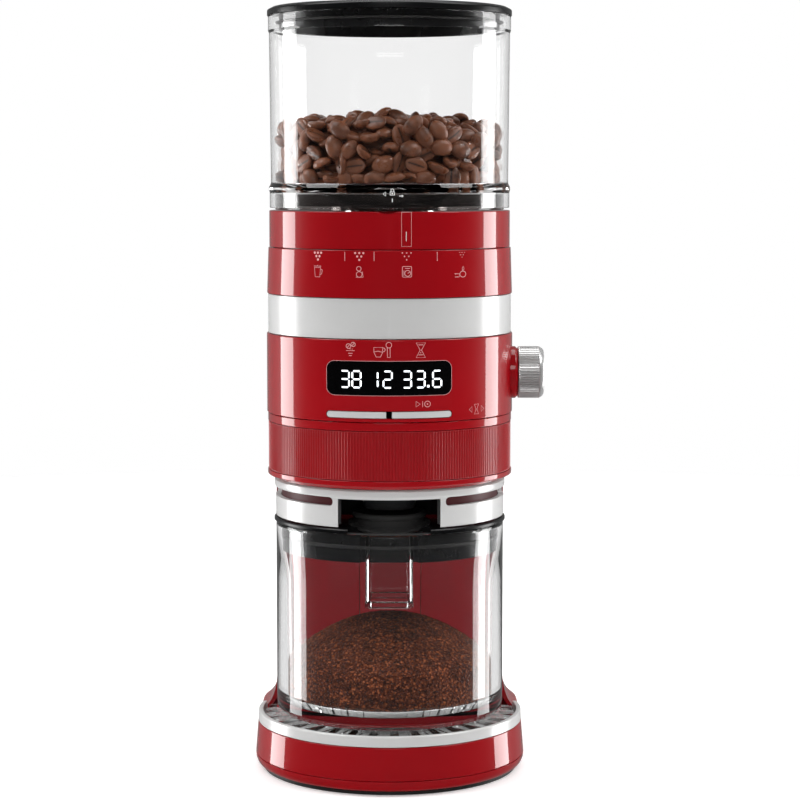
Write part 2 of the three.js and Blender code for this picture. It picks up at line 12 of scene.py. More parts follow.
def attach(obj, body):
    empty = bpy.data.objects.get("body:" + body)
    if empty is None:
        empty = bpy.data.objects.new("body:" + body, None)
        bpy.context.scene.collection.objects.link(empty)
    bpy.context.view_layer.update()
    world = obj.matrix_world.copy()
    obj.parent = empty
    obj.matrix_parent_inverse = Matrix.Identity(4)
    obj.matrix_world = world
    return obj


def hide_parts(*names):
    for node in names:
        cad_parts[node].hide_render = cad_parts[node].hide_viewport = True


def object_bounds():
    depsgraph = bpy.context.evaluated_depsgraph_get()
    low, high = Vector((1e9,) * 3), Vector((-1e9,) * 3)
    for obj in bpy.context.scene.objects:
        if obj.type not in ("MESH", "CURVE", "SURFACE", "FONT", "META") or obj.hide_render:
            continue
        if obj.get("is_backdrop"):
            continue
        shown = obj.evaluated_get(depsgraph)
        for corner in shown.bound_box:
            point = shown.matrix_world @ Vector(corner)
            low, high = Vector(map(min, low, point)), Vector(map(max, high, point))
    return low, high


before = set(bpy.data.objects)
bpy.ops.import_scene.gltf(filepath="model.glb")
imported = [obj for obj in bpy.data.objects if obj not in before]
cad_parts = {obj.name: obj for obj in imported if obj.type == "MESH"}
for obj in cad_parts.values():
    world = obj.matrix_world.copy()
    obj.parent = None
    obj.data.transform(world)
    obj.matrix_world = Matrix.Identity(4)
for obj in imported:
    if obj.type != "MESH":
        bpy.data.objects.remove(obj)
cad_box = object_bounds()

bl_info = {
    "name": "Burr Coffee Grinder",
    "version": (1, 0, 0),
    "blender": (4, 5, 0),
    "location": "View3D > Sidebar > Grinder",
    "description": "Builds a tall burr coffee grinder with its hopper, jar, finishes and stage",
    "category": "Add Mesh",
}

MM = 0.001
TAU = math.tau
ROUND = 256  # facets round the tower
SMALL_ROUND = 96  # facets round knobs, funnels and tubes
SPINE = 48  # straight length of the sides between the round front and the round back
TOWER = 66  # radius of the housing
COLUMN = 62  # half-width of the column behind the jar
SPOUT_Y = -36  # centre of the spout, funnel and chute
LONG_EDGE = 0.03  # metres; longer edges of a cutter run front to back
SAME_POINT = 1e-6  # metres between points that count as one
NEAR_POINT = 1e-5  # metres; looser, for points that an edit has moved


# ---------------------------------------------------------------- sizes and colours


class GrinderSizes(bpy.types.PropertyGroup):
    bean_length: FloatProperty(
        name="Bean length", description="Length of one roasted bean", default=0.0126, unit="LENGTH"
    )
    bean_width: FloatProperty(
        name="Bean width", description="Width of one roasted bean", default=0.0093, unit="LENGTH"
    )
    sleeve_ribs: IntProperty(
        name="Sleeve ribs", description="Ribs round half of the sleeve's front", default=128, min=8
    )
    rib_depth: FloatProperty(
        name="Rib depth", description="Height of the ribs on the sleeve", default=0.00032, unit="LENGTH"
    )
    knob_ribs: IntProperty(name="Knob ribs", description="Ribs round the side knob", default=60, min=8)
    mound_height: FloatProperty(
        name="Mound height", description="Height of the ground coffee over the jar's wall line",
        default=0.024, unit="LENGTH",
    )
    print_width: FloatProperty(
        name="Print width", description="Width of the printed lines", default=0.00036, unit="LENGTH"
    )
    lens: FloatProperty(
        name="Lens", description="Focal length of the camera in millimetres", default=105.75, min=20
    )


def colour_property(name, description, default):
    return FloatVectorProperty(
        name=name, description=description, default=default, subtype="COLOR", size=3, min=0, max=1
    )


class GrinderColours(bpy.types.PropertyGroup):
    housing_red: colour_property("Housing red", "Gloss red of the housing", (0.335, 0.0012, 0.0052))
    housing_deep: colour_property(
        "Deep red", "Darker red in the flow of the moulding", (0.285, 0.0010, 0.0044)
    )
    print_pink: colour_property("Print", "Pale print on the red plastic", (0.86, 0.47, 0.47))
    silver: colour_property("Silver", "Satin silver paint", (0.73, 0.73, 0.725))
    lid_black: colour_property("Black", "Gloss black of the lids", (0.003, 0.003, 0.0035))
    bean_dark: colour_property("Bean dark", "Dark side of the roasted beans", (0.036, 0.0120, 0.0060))
    bean_light: colour_property("Bean light", "Light side of the roasted beans", (0.19, 0.068, 0.033))
    grounds_dark: colour_property(
        "Grounds dark", "Dark grains of the ground coffee", (0.020, 0.0040, 0.0014)
    )
    grounds_light: colour_property(
        "Grounds light", "Light grains of the ground coffee", (0.30, 0.078, 0.026)
    )


# ---------------------------------------------------------------- modelling helpers


def clear_selection():
    if bpy.context.object is not None and bpy.context.object.mode != "OBJECT":
        bpy.ops.object.mode_set(mode="OBJECT")
    bpy.ops.object.select_all(action="DESELECT")


def make_active(piece):
    clear_selection()
    piece.select_set(True)
    bpy.context.view_layer.objects.active = piece


def edit(piece):
    make_active(piece)
    bpy.ops.object.mode_set(mode="EDIT")
    bpy.ops.mesh.select_all(action="DESELECT")


def end_edit():
    bpy.ops.object.mode_set(mode="OBJECT")


def choose(piece, kind, test):
    """Selects the vertices, edges or faces of a piece in edit mode whose centre passes the test."""
    bpy.ops.mesh.select_mode(type=kind)
    bm = bmesh.from_edit_mesh(piece.data)
    for group in (bm.faces, bm.edges, bm.verts):
        for element in group:
            element.select = False
    group = {"VERT": bm.verts, "EDGE": bm.edges, "FACE": bm.faces}[kind]
    count = 0
    for element in group:
        if test(element):
            element.select_set(True)
            count += 1
    bm.select_flush_mode()
    bmesh.update_edit_mesh(piece.data)
    return count


def face_at(test):
    """Face test on its centre, in millimetres, and its normal."""
    return lambda face: test(face.calc_center_median() / MM, face.normal)


def apply_place(piece):
    make_active(piece)
    bpy.ops.object.transform_apply(location=True, rotation=True, scale=True)


def apply_modifier(piece, kind, **settings):
    make_active(piece)
    modifier = piece.modifiers.new(kind.title(), kind)
    for key, value in settings.items():
        setattr(modifier, key, value)
    bpy.ops.object.modifier_apply(modifier=modifier.name)


def smooth(piece, degrees=35):
    make_active(piece)
    bpy.ops.object.shade_smooth_by_angle(angle=math.radians(degrees))
    apply_modifier(piece, "WEIGHTED_NORMAL", keep_sharp=True, weight=60)


def tidy(piece):
    """Merges doubles and points the faces outwards."""
    edit(piece)
    bpy.ops.mesh.select_all(action="SELECT")
    bpy.ops.mesh.remove_doubles(threshold=SAME_POINT)
    bpy.ops.mesh.normals_make_consistent(inside=False)
    end_edit()


def carve(piece, cutter, operation="DIFFERENCE"):
    apply_modifier(piece, "BOOLEAN", object=cutter, operation=operation, solver="EXACT")
    bpy.data.objects.remove(cutter, do_unlink=True)


def join(name, pieces):
    clear_selection()
    for piece in pieces:
        piece.select_set(True)
    bpy.context.view_layer.objects.active = pieces[0]
    if len(pieces) > 1:
        bpy.ops.object.join()
    joined = bpy.context.object
    joined.name = name
    return joined


def eased(points, radius, arcs=3, closed=True):
    """A profile with its corners rounded. A radius may be given per corner as a third value."""
    out = []
    count = len(points)
    for i, point in enumerate(points):
        here = Vector(point[:2])
        reach = point[2] if len(point) > 2 else radius
        if reach == 0 or (not closed and i in (0, count - 1)):
            out.append(here)
            continue
        back = Vector(points[i - 1][:2]) - here
        on = Vector(points[(i + 1) % count][:2]) - here
        turn = math.pi - back.angle(on)
        if turn < math.radians(12):
            out.append(here)
            continue
        cut = min(reach * math.tan(turn / 2), 0.46 * back.length, 0.46 * on.length)
        start = here + back.normalized() * cut
        stop = here + on.normalized() * cut
        for step in range(arcs + 1):
            t = step / arcs
            out.append(start * (1 - t) ** 2 + here * 2 * t * (1 - t) + stop * t * t)
    return out


def trace(name, points, closed):
    """Draws a profile in edit mode by extruding one point on from place to place."""
    clear_selection()
    bpy.ops.mesh.primitive_plane_add(size=MM, location=points[0])
    piece = bpy.context.object
    piece.name = name
    bpy.ops.object.transform_apply(location=True)
    bpy.ops.object.mode_set(mode="EDIT")
    bpy.ops.mesh.select_mode(type="VERT")
    bpy.ops.mesh.select_all(action="SELECT")
    bpy.ops.mesh.merge(type="CENTER")
    for here, there in zip(points, points[1:]):
        bpy.ops.mesh.extrude_region_move(TRANSFORM_OT_translate={"value": there - here})
    if closed:
        bm = bmesh.from_edit_mesh(piece.data)
        last = len(bm.verts) - 1
        choose(piece, "VERT", lambda v: v.index in (0, last))
        bpy.ops.mesh.edge_face_add()
    return piece


def turned(name, profile, axis="Z", centre=(0, 0), steps=ROUND, closed=True, sweep=360, start=0):
    """Spins a profile of (radius, height) points, in millimetres, round an axis.

    The angle of a part turn counts from the front, towards the right-hand side."""
    a = math.radians(start)
    places = {
        "Z": lambda r, t: (centre[0] + r * math.sin(a), centre[1] - r * math.cos(a), t),
        "X": lambda r, t: (t, centre[0] + r * math.sin(a), centre[1] + r * math.cos(a)),
        "Y": lambda r, t: (centre[0] + r * math.cos(a), t, centre[1] + r * math.sin(a)),
    }
    pivots = {
        "Z": (centre[0], centre[1], 0),
        "X": (0, centre[0], centre[1]),
        "Y": (centre[0], 0, centre[1]),
    }
    lines = {"Z": (0, 0, 1), "X": (1, 0, 0), "Y": (0, 1, 0)}
    points = [Vector(places[axis](r, t)) * MM for r, t in profile]
    piece = trace(name, points, closed)
    bpy.ops.mesh.select_all(action="SELECT")
    if closed and sweep < 360:
        bpy.ops.mesh.edge_face_add()
    bpy.ops.mesh.spin(
        steps=steps,
        angle=-math.radians(sweep),
        center=Vector(pivots[axis]) * MM,
        axis=lines[axis],
    )
    end_edit()
    tidy(piece)
    return piece


def stretched(piece, half_width, steps=1):
    """Gives a turned shell the grinder's plan: round front, straight sides and a round back."""
    depth = (half_width - 2) / half_width
    edit(piece)
    choose(piece, "FACE", face_at(lambda c, n: c.y > 0.01))
    bpy.ops.mesh.split()
    bpy.ops.transform.resize(value=(1, depth, 1), center_override=(0, 0, 0))
    bpy.ops.transform.translate(value=(0, SPINE * MM, 0))

    def front_end(e):
        return e.is_boundary and all(abs(v.co.y) < SAME_POINT for v in e.verts)

    choose(piece, "EDGE", front_end)
    for _ in range(steps):
        bpy.ops.mesh.extrude_edges_move(TRANSFORM_OT_translate={"value": (0, SPINE * MM / steps, 0)})
    end_edit()
    tidy(piece)
    return piece


def plan_shell(name, profile, half_width, closed=True):
    return stretched(turned(name, profile, closed=closed), half_width)


def keep_side(piece, point, normal):
    """Cuts a piece by a plane and keeps what lies behind the normal, with the cut closed."""
    edit(piece)
    bpy.ops.mesh.select_all(action="SELECT")
    bpy.ops.mesh.bisect(
        plane_co=Vector(point) * MM, plane_no=normal, use_fill=True, clear_outer=True, threshold=1e-7
    )
    end_edit()
    tidy(piece)
    return piece


def block(name, low, high, ease=0, segments=3):
    """A box between two corners in millimetres, its edges eased by a bevel."""
    low, high = Vector(low) * MM, Vector(high) * MM
    clear_selection()
    bpy.ops.mesh.primitive_cube_add(size=1, location=(low + high) / 2, scale=high - low)
    piece = bpy.context.object
    piece.name = name
    apply_place(piece)
    if ease:
        edit(piece)
        bpy.ops.mesh.select_all(action="SELECT")
        bpy.ops.mesh.bevel(offset=ease * MM, segments=segments, affect="EDGES", clamp_overlap=True)
        end_edit()
    return piece


def round_corners(piece, radius, segments, picked=lambda e: True):
    """Rounds the long front-to-back edges of a block that pass the test."""
    edit(piece)
    choose(piece, "EDGE", lambda e: abs(e.verts[0].co.y - e.verts[1].co.y) > LONG_EDGE and picked(e))
    bpy.ops.mesh.bevel(offset=radius * MM, segments=segments, affect="EDGES")
    end_edit()
    return piece


def post(name, radius, low, high, axis="Z", centre=(0, 0), steps=SMALL_ROUND, ease=0):
    profile = [(0, low), (radius, low), (radius, high), (0, high)]
    return turned(name, eased(profile, ease, closed=False), axis, centre, steps, closed=False)


def tube(name, outer, inner, low, high, axis="Z", centre=(0, 0), steps=SMALL_ROUND, ease=0):
    profile = [(outer, low), (outer, high), (inner, high), (inner, low)]
    return turned(name, eased(profile, max(ease, 0.05)), axis, centre, steps)


def settle(piece, material, body, slot, *stood_for, shade=35):
    """Shades a finished piece, gives it its finish and rides it on its body."""
    if shade:
        smooth(piece, shade)
    piece.data.materials.clear()
    piece.data.materials.append(material)
    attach(piece, body)
    if stood_for:
        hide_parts(*stood_for)
    return piece


# ---------------------------------------------------------------- finishes


class Finish:
    """A material under construction: its tree, its shader and short ways to add nodes."""

    def __init__(self, name):
        self.material = bpy.data.materials.new(name)
        self.material.use_nodes = True
        self.tree = self.material.node_tree
        self.tree.nodes.clear()
        self.output = self.tree.nodes.new("ShaderNodeOutputMaterial")
        self.shader = self.tree.nodes.new("ShaderNodeBsdfPrincipled")
        self.link(self.shader.outputs["BSDF"], self.output.inputs["Surface"])

    def link(self, source, target):
        self.tree.links.new(source, target)

    def set(self, **values):
        for key, value in values.items():
            self.shader.inputs[key.replace("_", " ")].default_value = value

    def node(self, kind, settings=None, **inputs):
        return add_node(self.tree, kind, settings, **inputs)

    def group(self, group, **inputs):
        node = self.node("ShaderNodeGroup", {"node_tree": group}, **inputs)
        return node.outputs

    def place(self, mapping=None):
        coordinates = self.node("ShaderNodeTexCoord").outputs["Object"]
        if mapping is None:
            return coordinates
        return self.node("ShaderNodeMapping", None, Vector=coordinates, **mapping).outputs["Vector"]

    def bump(self, height, strength, distance):
        node = self.node("ShaderNodeBump", None, Height=height, Strength=strength, Distance=distance)
        self.link(node.outputs["Normal"], self.shader.inputs["Normal"])

    def wiped(self, where, low, high, scale=30.0):
        """Roughness that wanders between low and high."""
        rough = self.group(smudge_group(), Vector=where, Low=low, High=high, Scale=scale)["Roughness"]
        self.link(rough, self.shader.inputs["Roughness"])

    def grained(self, where, scale, ripple, strength, distance):
        """Bump from the moulded grain."""
        height = self.group(grain_group(), Vector=where, Scale=scale, Ripple=ripple)["Height"]
        self.bump(height, strength, distance)


def new_group(name, inputs, outputs):
    tree = bpy.data.node_groups.new(name, "ShaderNodeTree")
    for label, kind, default in inputs:
        socket = tree.interface.new_socket(label, in_out="INPUT", socket_type=kind)
        if default is not None:
            socket.default_value = default
    for label, kind in outputs:
        tree.interface.new_socket(label, in_out="OUTPUT", socket_type=kind)
    return tree, tree.nodes.new("NodeGroupInput").outputs, tree.nodes.new("NodeGroupOutput").inputs


def add_node(tree, kind, settings=None, **inputs):
    node = tree.nodes.new(kind)
    for key, value in (settings or {}).items():
        setattr(node, key, value)
    for key, value in inputs.items():
        key = int(key[1:]) if key[0] == "i" and key[1:].isdigit() else key.replace("_", " ")
        if isinstance(value, bpy.types.NodeSocket):
            tree.links.new(value, node.inputs[key])
        else:
            node.inputs[key].default_value = value
    return node


def math_node(tree, operation, first, second, **settings):
    return add_node(
        tree, "ShaderNodeMath", {"operation": operation, **settings}, i0=first, i1=second
    ).outputs[0]


def mixed(tree, share, first, second):
    """Two shaders mixed by a share."""
    return add_node(tree, "ShaderNodeMixShader", None, i0=share, i1=first, i2=second).outputs[0]


def colour4(colour, alpha=1.0):
    return (*colour[:3], alpha)


def cached(builder):
    made = {}

    def once(*arguments):
        if arguments not in made:
            made[arguments] = builder(*arguments)
        return made[arguments]

    return once


@cached
def flow_group():
    """Slow drift of a moulded or painted colour between two tones, with fine specks over it."""
    tree, given, out = new_group(
        "Colour Flow",
        [
            ("Vector", "NodeSocketVector", None), ("Main", "NodeSocketColor", (0.5, 0.5, 0.5, 1)),
            ("Second", "NodeSocketColor", (0.4, 0.4, 0.4, 1)), ("Scale", "NodeSocketFloat", 12.0),
            ("Speck Scale", "NodeSocketFloat", 900.0), ("Speck Share", "NodeSocketFloat", 0.1)
        ],
        [("Color", "NodeSocketColor"), ("Mask", "NodeSocketFloat")]
    )
    drift = add_node(
        tree, "ShaderNodeTexNoise", None, Vector=given["Vector"], Scale=given["Scale"], Detail=3.0,
        Roughness=0.55
    )
    specks = add_node(
        tree, "ShaderNodeTexNoise", None, Vector=given["Vector"], Scale=given["Speck Scale"], Detail=1.0
    )
    wide = add_node(
        tree, "ShaderNodeMapRange", None, Value=drift.outputs["Fac"], From_Min=0.32, From_Max=0.68
    )
    fine = math_node(tree, "MULTIPLY", specks.outputs["Fac"], given["Speck Share"])
    both = math_node(tree, "ADD", wide.outputs[0], fine, use_clamp=True)
    mix = add_node(
        tree,
        "ShaderNodeMix",
        {"data_type": "RGBA"},
        i0=both,
        i6=given["Main"],
        i7=given["Second"],
    )
    tree.links.new(mix.outputs[2], out["Color"])
    tree.links.new(both, out["Mask"])
    return tree


@cached
def smudge_group():
    """Roughness that wanders between two values, as handled and wiped surfaces do."""
    tree, given, out = new_group(
        "Wiped Roughness",
        [
            ("Vector", "NodeSocketVector", None), ("Low", "NodeSocketFloat", 0.1),
            ("High", "NodeSocketFloat", 0.2), ("Scale", "NodeSocketFloat", 30.0)
        ],
        [("Roughness", "NodeSocketFloat")]
    )
    cloud = add_node(
        tree, "ShaderNodeTexNoise", None, Vector=given["Vector"], Scale=given["Scale"], Detail=5.0,
        Roughness=0.62
    )
    level = add_node(
        tree, "ShaderNodeMapRange", None, Value=cloud.outputs["Fac"], From_Min=0.3, From_Max=0.7,
        To_Min=given["Low"], To_Max=given["High"]
    )
    tree.links.new(level.outputs[0], out["Roughness"])
    return tree


@cached
def edge_group():
    """Mask of the sharp edges, broken up by noise, where a finish wears or catches dust."""
    tree, given, out = new_group(
        "Edge Wear",
        [
            ("Vector", "NodeSocketVector", None), ("Color", "NodeSocketColor", (0.5, 0.5, 0.5, 1)),
            ("Worn", "NodeSocketColor", (0.8, 0.8, 0.8, 1)), ("Amount", "NodeSocketFloat", 0.3),
            ("Scale", "NodeSocketFloat", 160.0)
        ],
        [("Color", "NodeSocketColor"), ("Mask", "NodeSocketFloat")]
    )
    geometry = add_node(tree, "ShaderNodeNewGeometry")
    ridge = add_node(
        tree,
        "ShaderNodeMapRange",
        None,
        Value=geometry.outputs["Pointiness"],
        From_Min=0.53,
        From_Max=0.62,
    )
    broken = add_node(
        tree, "ShaderNodeTexNoise", None, Vector=given["Vector"], Scale=given["Scale"], Detail=2.0
    )
    worn = math_node(tree, "MULTIPLY", ridge.outputs[0], broken.outputs["Fac"])
    share = math_node(tree, "MULTIPLY", worn, given["Amount"], use_clamp=True)
    mix = add_node(
        tree, "ShaderNodeMix", {"data_type": "RGBA"}, i0=share, i6=given["Color"], i7=given["Worn"]
    )
    tree.links.new(mix.outputs[2], out["Color"])
    tree.links.new(share, out["Mask"])
    return tree


@cached
def grain_group():
    """Height of a fine moulded or cast grain with a slow ripple under it."""
    tree, given, out = new_group(
        "Moulded Grain",
        [
            ("Vector", "NodeSocketVector", None), ("Scale", "NodeSocketFloat", 900.0),
            ("Ripple", "NodeSocketFloat", 0.3)
        ],
        [("Height", "NodeSocketFloat")]
    )
    fine = add_node(
        tree, "ShaderNodeTexNoise", None, Vector=given["Vector"], Scale=given["Scale"], Detail=2.0
    )
    slow = add_node(tree, "ShaderNodeTexNoise", None, Vector=given["Vector"], Scale=45.0, Detail=1.0)
    ripple = math_node(tree, "MULTIPLY", slow.outputs["Fac"], given["Ripple"])
    height = math_node(tree, "ADD", fine.outputs["Fac"], ripple)
    tree.links.new(height, out["Height"])
    return tree


def solid_finish(
    name, main, second, low, high, metallic=0.0, coat=0.0, specular=0.5, worn=None, wear=0.0,
    grain=900.0, bump=0.02, ripple=0.3, flow=12.0, stretch=None, speck=0.1, coat_ior=1.5
):
    """A finish for anything opaque: two tones, wandering roughness, worn edges and a fine grain."""
    f = Finish(name)
    where = f.place(stretch)
    tone = f.group(
        flow_group(), Vector=where, Main=colour4(main), Second=colour4(second), Scale=flow,
        Speck_Share=speck
    )["Color"]
    if wear:
        tone = f.group(
            edge_group(), Vector=where, Color=tone, Worn=colour4(worn or main), Amount=wear
        )["Color"]
    f.link(tone, f.shader.inputs["Base Color"])
    f.wiped(where, low, high)
    f.set(
        Metallic=metallic, Coat_Weight=coat, Coat_Roughness=0.02, Coat_IOR=coat_ior,
        Specular_IOR_Level=specular
    )
    if bump:
        f.grained(where, grain, ripple, bump, 0.0002)
    return f.material


def clear_finish(name, tint, ior, low, high, bump=0.001, clearness=1.0):
    """Clear plastic or glass that lets the lamps through to what it holds."""
    f = Finish(name)
    where = f.place()
    f.set(Base_Color=colour4(tint), IOR=ior, Transmission_Weight=clearness, Metallic=0.0)
    f.wiped(where, low, high)
    f.grained(where, 60.0, 1.0, bump, 0.0001)
    path = f.node("ShaderNodeLightPath").outputs
    lamp = f.node("ShaderNodeBsdfTransparent", None, Color=colour4([0.6 + 0.4 * c for c in tint]))
    both = mixed(f.tree, path["Is Shadow Ray"], f.shader.outputs["BSDF"], lamp.outputs["BSDF"])
    f.link(both, f.output.inputs["Surface"])
    return f.material


@cached
def red_gloss():
    c = bpy.context.scene.grinder_colours
    return solid_finish(
        "red_gloss_plastic", c.housing_red, c.housing_deep, 0.30, 0.38, coat=1.0, specular=0.12,
        worn=(0.75, 0.12, 0.14), wear=0.05, bump=0.004, ripple=0.1, flow=7.0, speck=0.05, coat_ior=1.52,
    )


@cached
def red_sleeve():
    c = bpy.context.scene.grinder_colours
    return solid_finish(
        "red_ribbed_plastic", c.housing_red, c.housing_deep, 0.26, 0.36, coat=0.16, specular=0.5,
        worn=(0.7, 0.14, 0.16), wear=0.25, bump=0.03, grain=1400.0, flow=9.0,
    )


@cached
def red_painted_bounce_light():
    """Red plastic sheltered behind the jar: painted lighter than the housing red, with a faint red glow
    as painted bounce light.
    """
    material = solid_finish(
        "red_plastic_painted_bounce_light", (0.70, 0.045, 0.060), (0.60, 0.036, 0.050), 0.34, 0.46, coat=0.05,
        specular=0.3, worn=(0.8, 0.14, 0.16), wear=0.3, bump=0.006, ripple=0.1, flow=7.0, speck=0.05
    )
    shader = material.node_tree.nodes["Principled BSDF"]
    # Painted light: a faint red glow stands in for light bounced onto the column.
    shader.inputs["Emission Color"].default_value = (1.0, 0.05, 0.07, 1.0)
    shader.inputs["Emission Strength"].default_value = 0.09
    return material


@cached
def red_painted_shade():
    """The red of the liner as it shows through the cradle's slots, darkened as painted shade."""
    return solid_finish(
        "red_liner_painted_shade", (0.10, 0.018, 0.021), (0.08, 0.014, 0.017), 0.40, 0.52, specular=0.25,
        worn=(0.2, 0.05, 0.05), wear=0.2, bump=0.006, ripple=0.1, flow=7.0, speck=0.05,
    )


@cached
def silver_paint():
    c = bpy.context.scene.grinder_colours
    return solid_finish(
        "satin_silver_paint", c.silver, [x * 0.95 for x in c.silver], 0.20, 0.27, metallic=0.20,
        specular=0.28, worn=(0.85, 0.85, 0.84), wear=0.3, bump=0.006, ripple=0.1, grain=2600.0,
        flow=14.0, speck=0.5
    )


@cached
def brushed_metal():
    return solid_finish(
        "brushed_knob_metal", (0.80, 0.80, 0.79), (0.70, 0.70, 0.70), 0.26, 0.34, metallic=0.7,
        worn=(0.9, 0.9, 0.9), wear=0.3, bump=0.015, grain=1500.0,
        stretch={"Scale": (0.15, 1.0, 1.0)}, speck=0.15,
    )


@cached
def black_gloss():
    c = bpy.context.scene.grinder_colours
    return solid_finish(
        "black_gloss_plastic", c.lid_black, (0.004, 0.004, 0.0045), 0.24, 0.32, specular=0.32,
        worn=(0.02, 0.02, 0.02), wear=0.2, bump=0.002, ripple=0.1,
    )


@cached
def black_satin():
    return solid_finish(
        "black_satin_plastic", (0.013, 0.013, 0.014), (0.020, 0.020, 0.021), 0.30, 0.42,
        worn=(0.09, 0.09, 0.09), wear=0.4, bump=0.05, grain=1100.0,
    )


@cached
def black_rubber():
    return solid_finish(
        "black_rubber", (0.018, 0.018, 0.019), (0.030, 0.029, 0.028), 0.45, 0.62, specular=0.35,
        worn=(0.10, 0.10, 0.10), wear=0.5, bump=0.12, grain=1700.0, speck=0.3,
    )


@cached
def display_black():
    return solid_finish(
        "display_window_black", (0.001, 0.001, 0.0012), (0.002, 0.002, 0.0022), 0.05, 0.11,
        specular=0.3, bump=0.002
    )


@cached
def pale_print():
    c = bpy.context.scene.grinder_colours
    return solid_finish(
        "pale_print_ink", c.print_pink, [x * 0.9 for x in c.print_pink], 0.35, 0.5, bump=0.05,
        grain=3000.0
    )


@cached
def white_print():
    return solid_finish(
        "white_print_ink", (0.92, 0.92, 0.92), (0.82, 0.82, 0.82), 0.35, 0.5, bump=0.05, grain=3000.0
    )


@cached
def segment_light():
    """Lit display segments, with a slight unevenness."""
    f = Finish("display_segment_light")
    where = f.place()
    tone = f.group(
        flow_group(), Vector=where, Main=(1.0, 1.0, 1.0, 1), Second=(0.86, 0.93, 1.0, 1), Scale=260.0
    )["Color"]
    f.link(tone, f.shader.inputs["Emission Color"])
    f.link(tone, f.shader.inputs["Base Color"])
    f.set(Emission_Strength=1.3, Roughness=0.4)
    return f.material


@cached
def clear_plastic():
    return clear_finish("clear_hopper_plastic", (0.996, 0.996, 0.996), 1.45, 0.0, 0.012)


@cached
def clear_glass():
    return clear_finish("clear_jar_glass", (0.995, 0.995, 0.995), 1.45, 0.0, 0.01, clearness=0.997)


@cached
def clear_tray_glass():
    return clear_finish("clear_tray_plastic", (0.95, 0.955, 0.955), 1.49, 0.01, 0.04, bump=0.02)


@cached
def smoke_plastic():
    return clear_finish("smoke_gate_plastic", (0.13, 0.115, 0.11), 1.45, 0.04, 0.12)


@cached
def steel():
    return solid_finish(
        "machined_steel", (0.56, 0.57, 0.58), (0.42, 0.43, 0.44), 0.22, 0.38, metallic=1.0,
        worn=(0.85, 0.85, 0.85), wear=0.5, bump=0.05, grain=1900.0, speck=0.5,
    )


@cached
def brass():
    return solid_finish(
        "gland_brass", (0.62, 0.42, 0.16), (0.5, 0.33, 0.13), 0.25, 0.4, metallic=1.0, bump=0.04
    )


@cached
def nylon():
    return solid_finish(
        "gear_nylon", (0.68, 0.66, 0.60), (0.60, 0.58, 0.52), 0.38, 0.5, worn=(0.8, 0.8, 0.76),
        wear=0.3, bump=0.05
    )


@cached
def circuit_green():
    return solid_finish(
        "circuit_board_green", (0.03, 0.17, 0.08), (0.05, 0.22, 0.10), 0.25, 0.42, bump=0.05, flow=120.0
    )


# ---------------------------------------------------------------- stage


def area_lamp(name, place, aim, width, height, radiance, colour=(1, 1, 1)):
    data = bpy.data.lights.new(name, "AREA")
    data.shape = "RECTANGLE"
    data.size = width
    data.size_y = height
    data.energy = radiance * math.pi * width * height
    data.color = colour
    lamp = bpy.data.objects.new(name, data)
    bpy.context.scene.collection.objects.link(lamp)
    lamp.location = place
    lamp.rotation_euler = (Vector(aim) - Vector(place)).to_track_quat("-Z", "Y").to_euler()
    return lamp


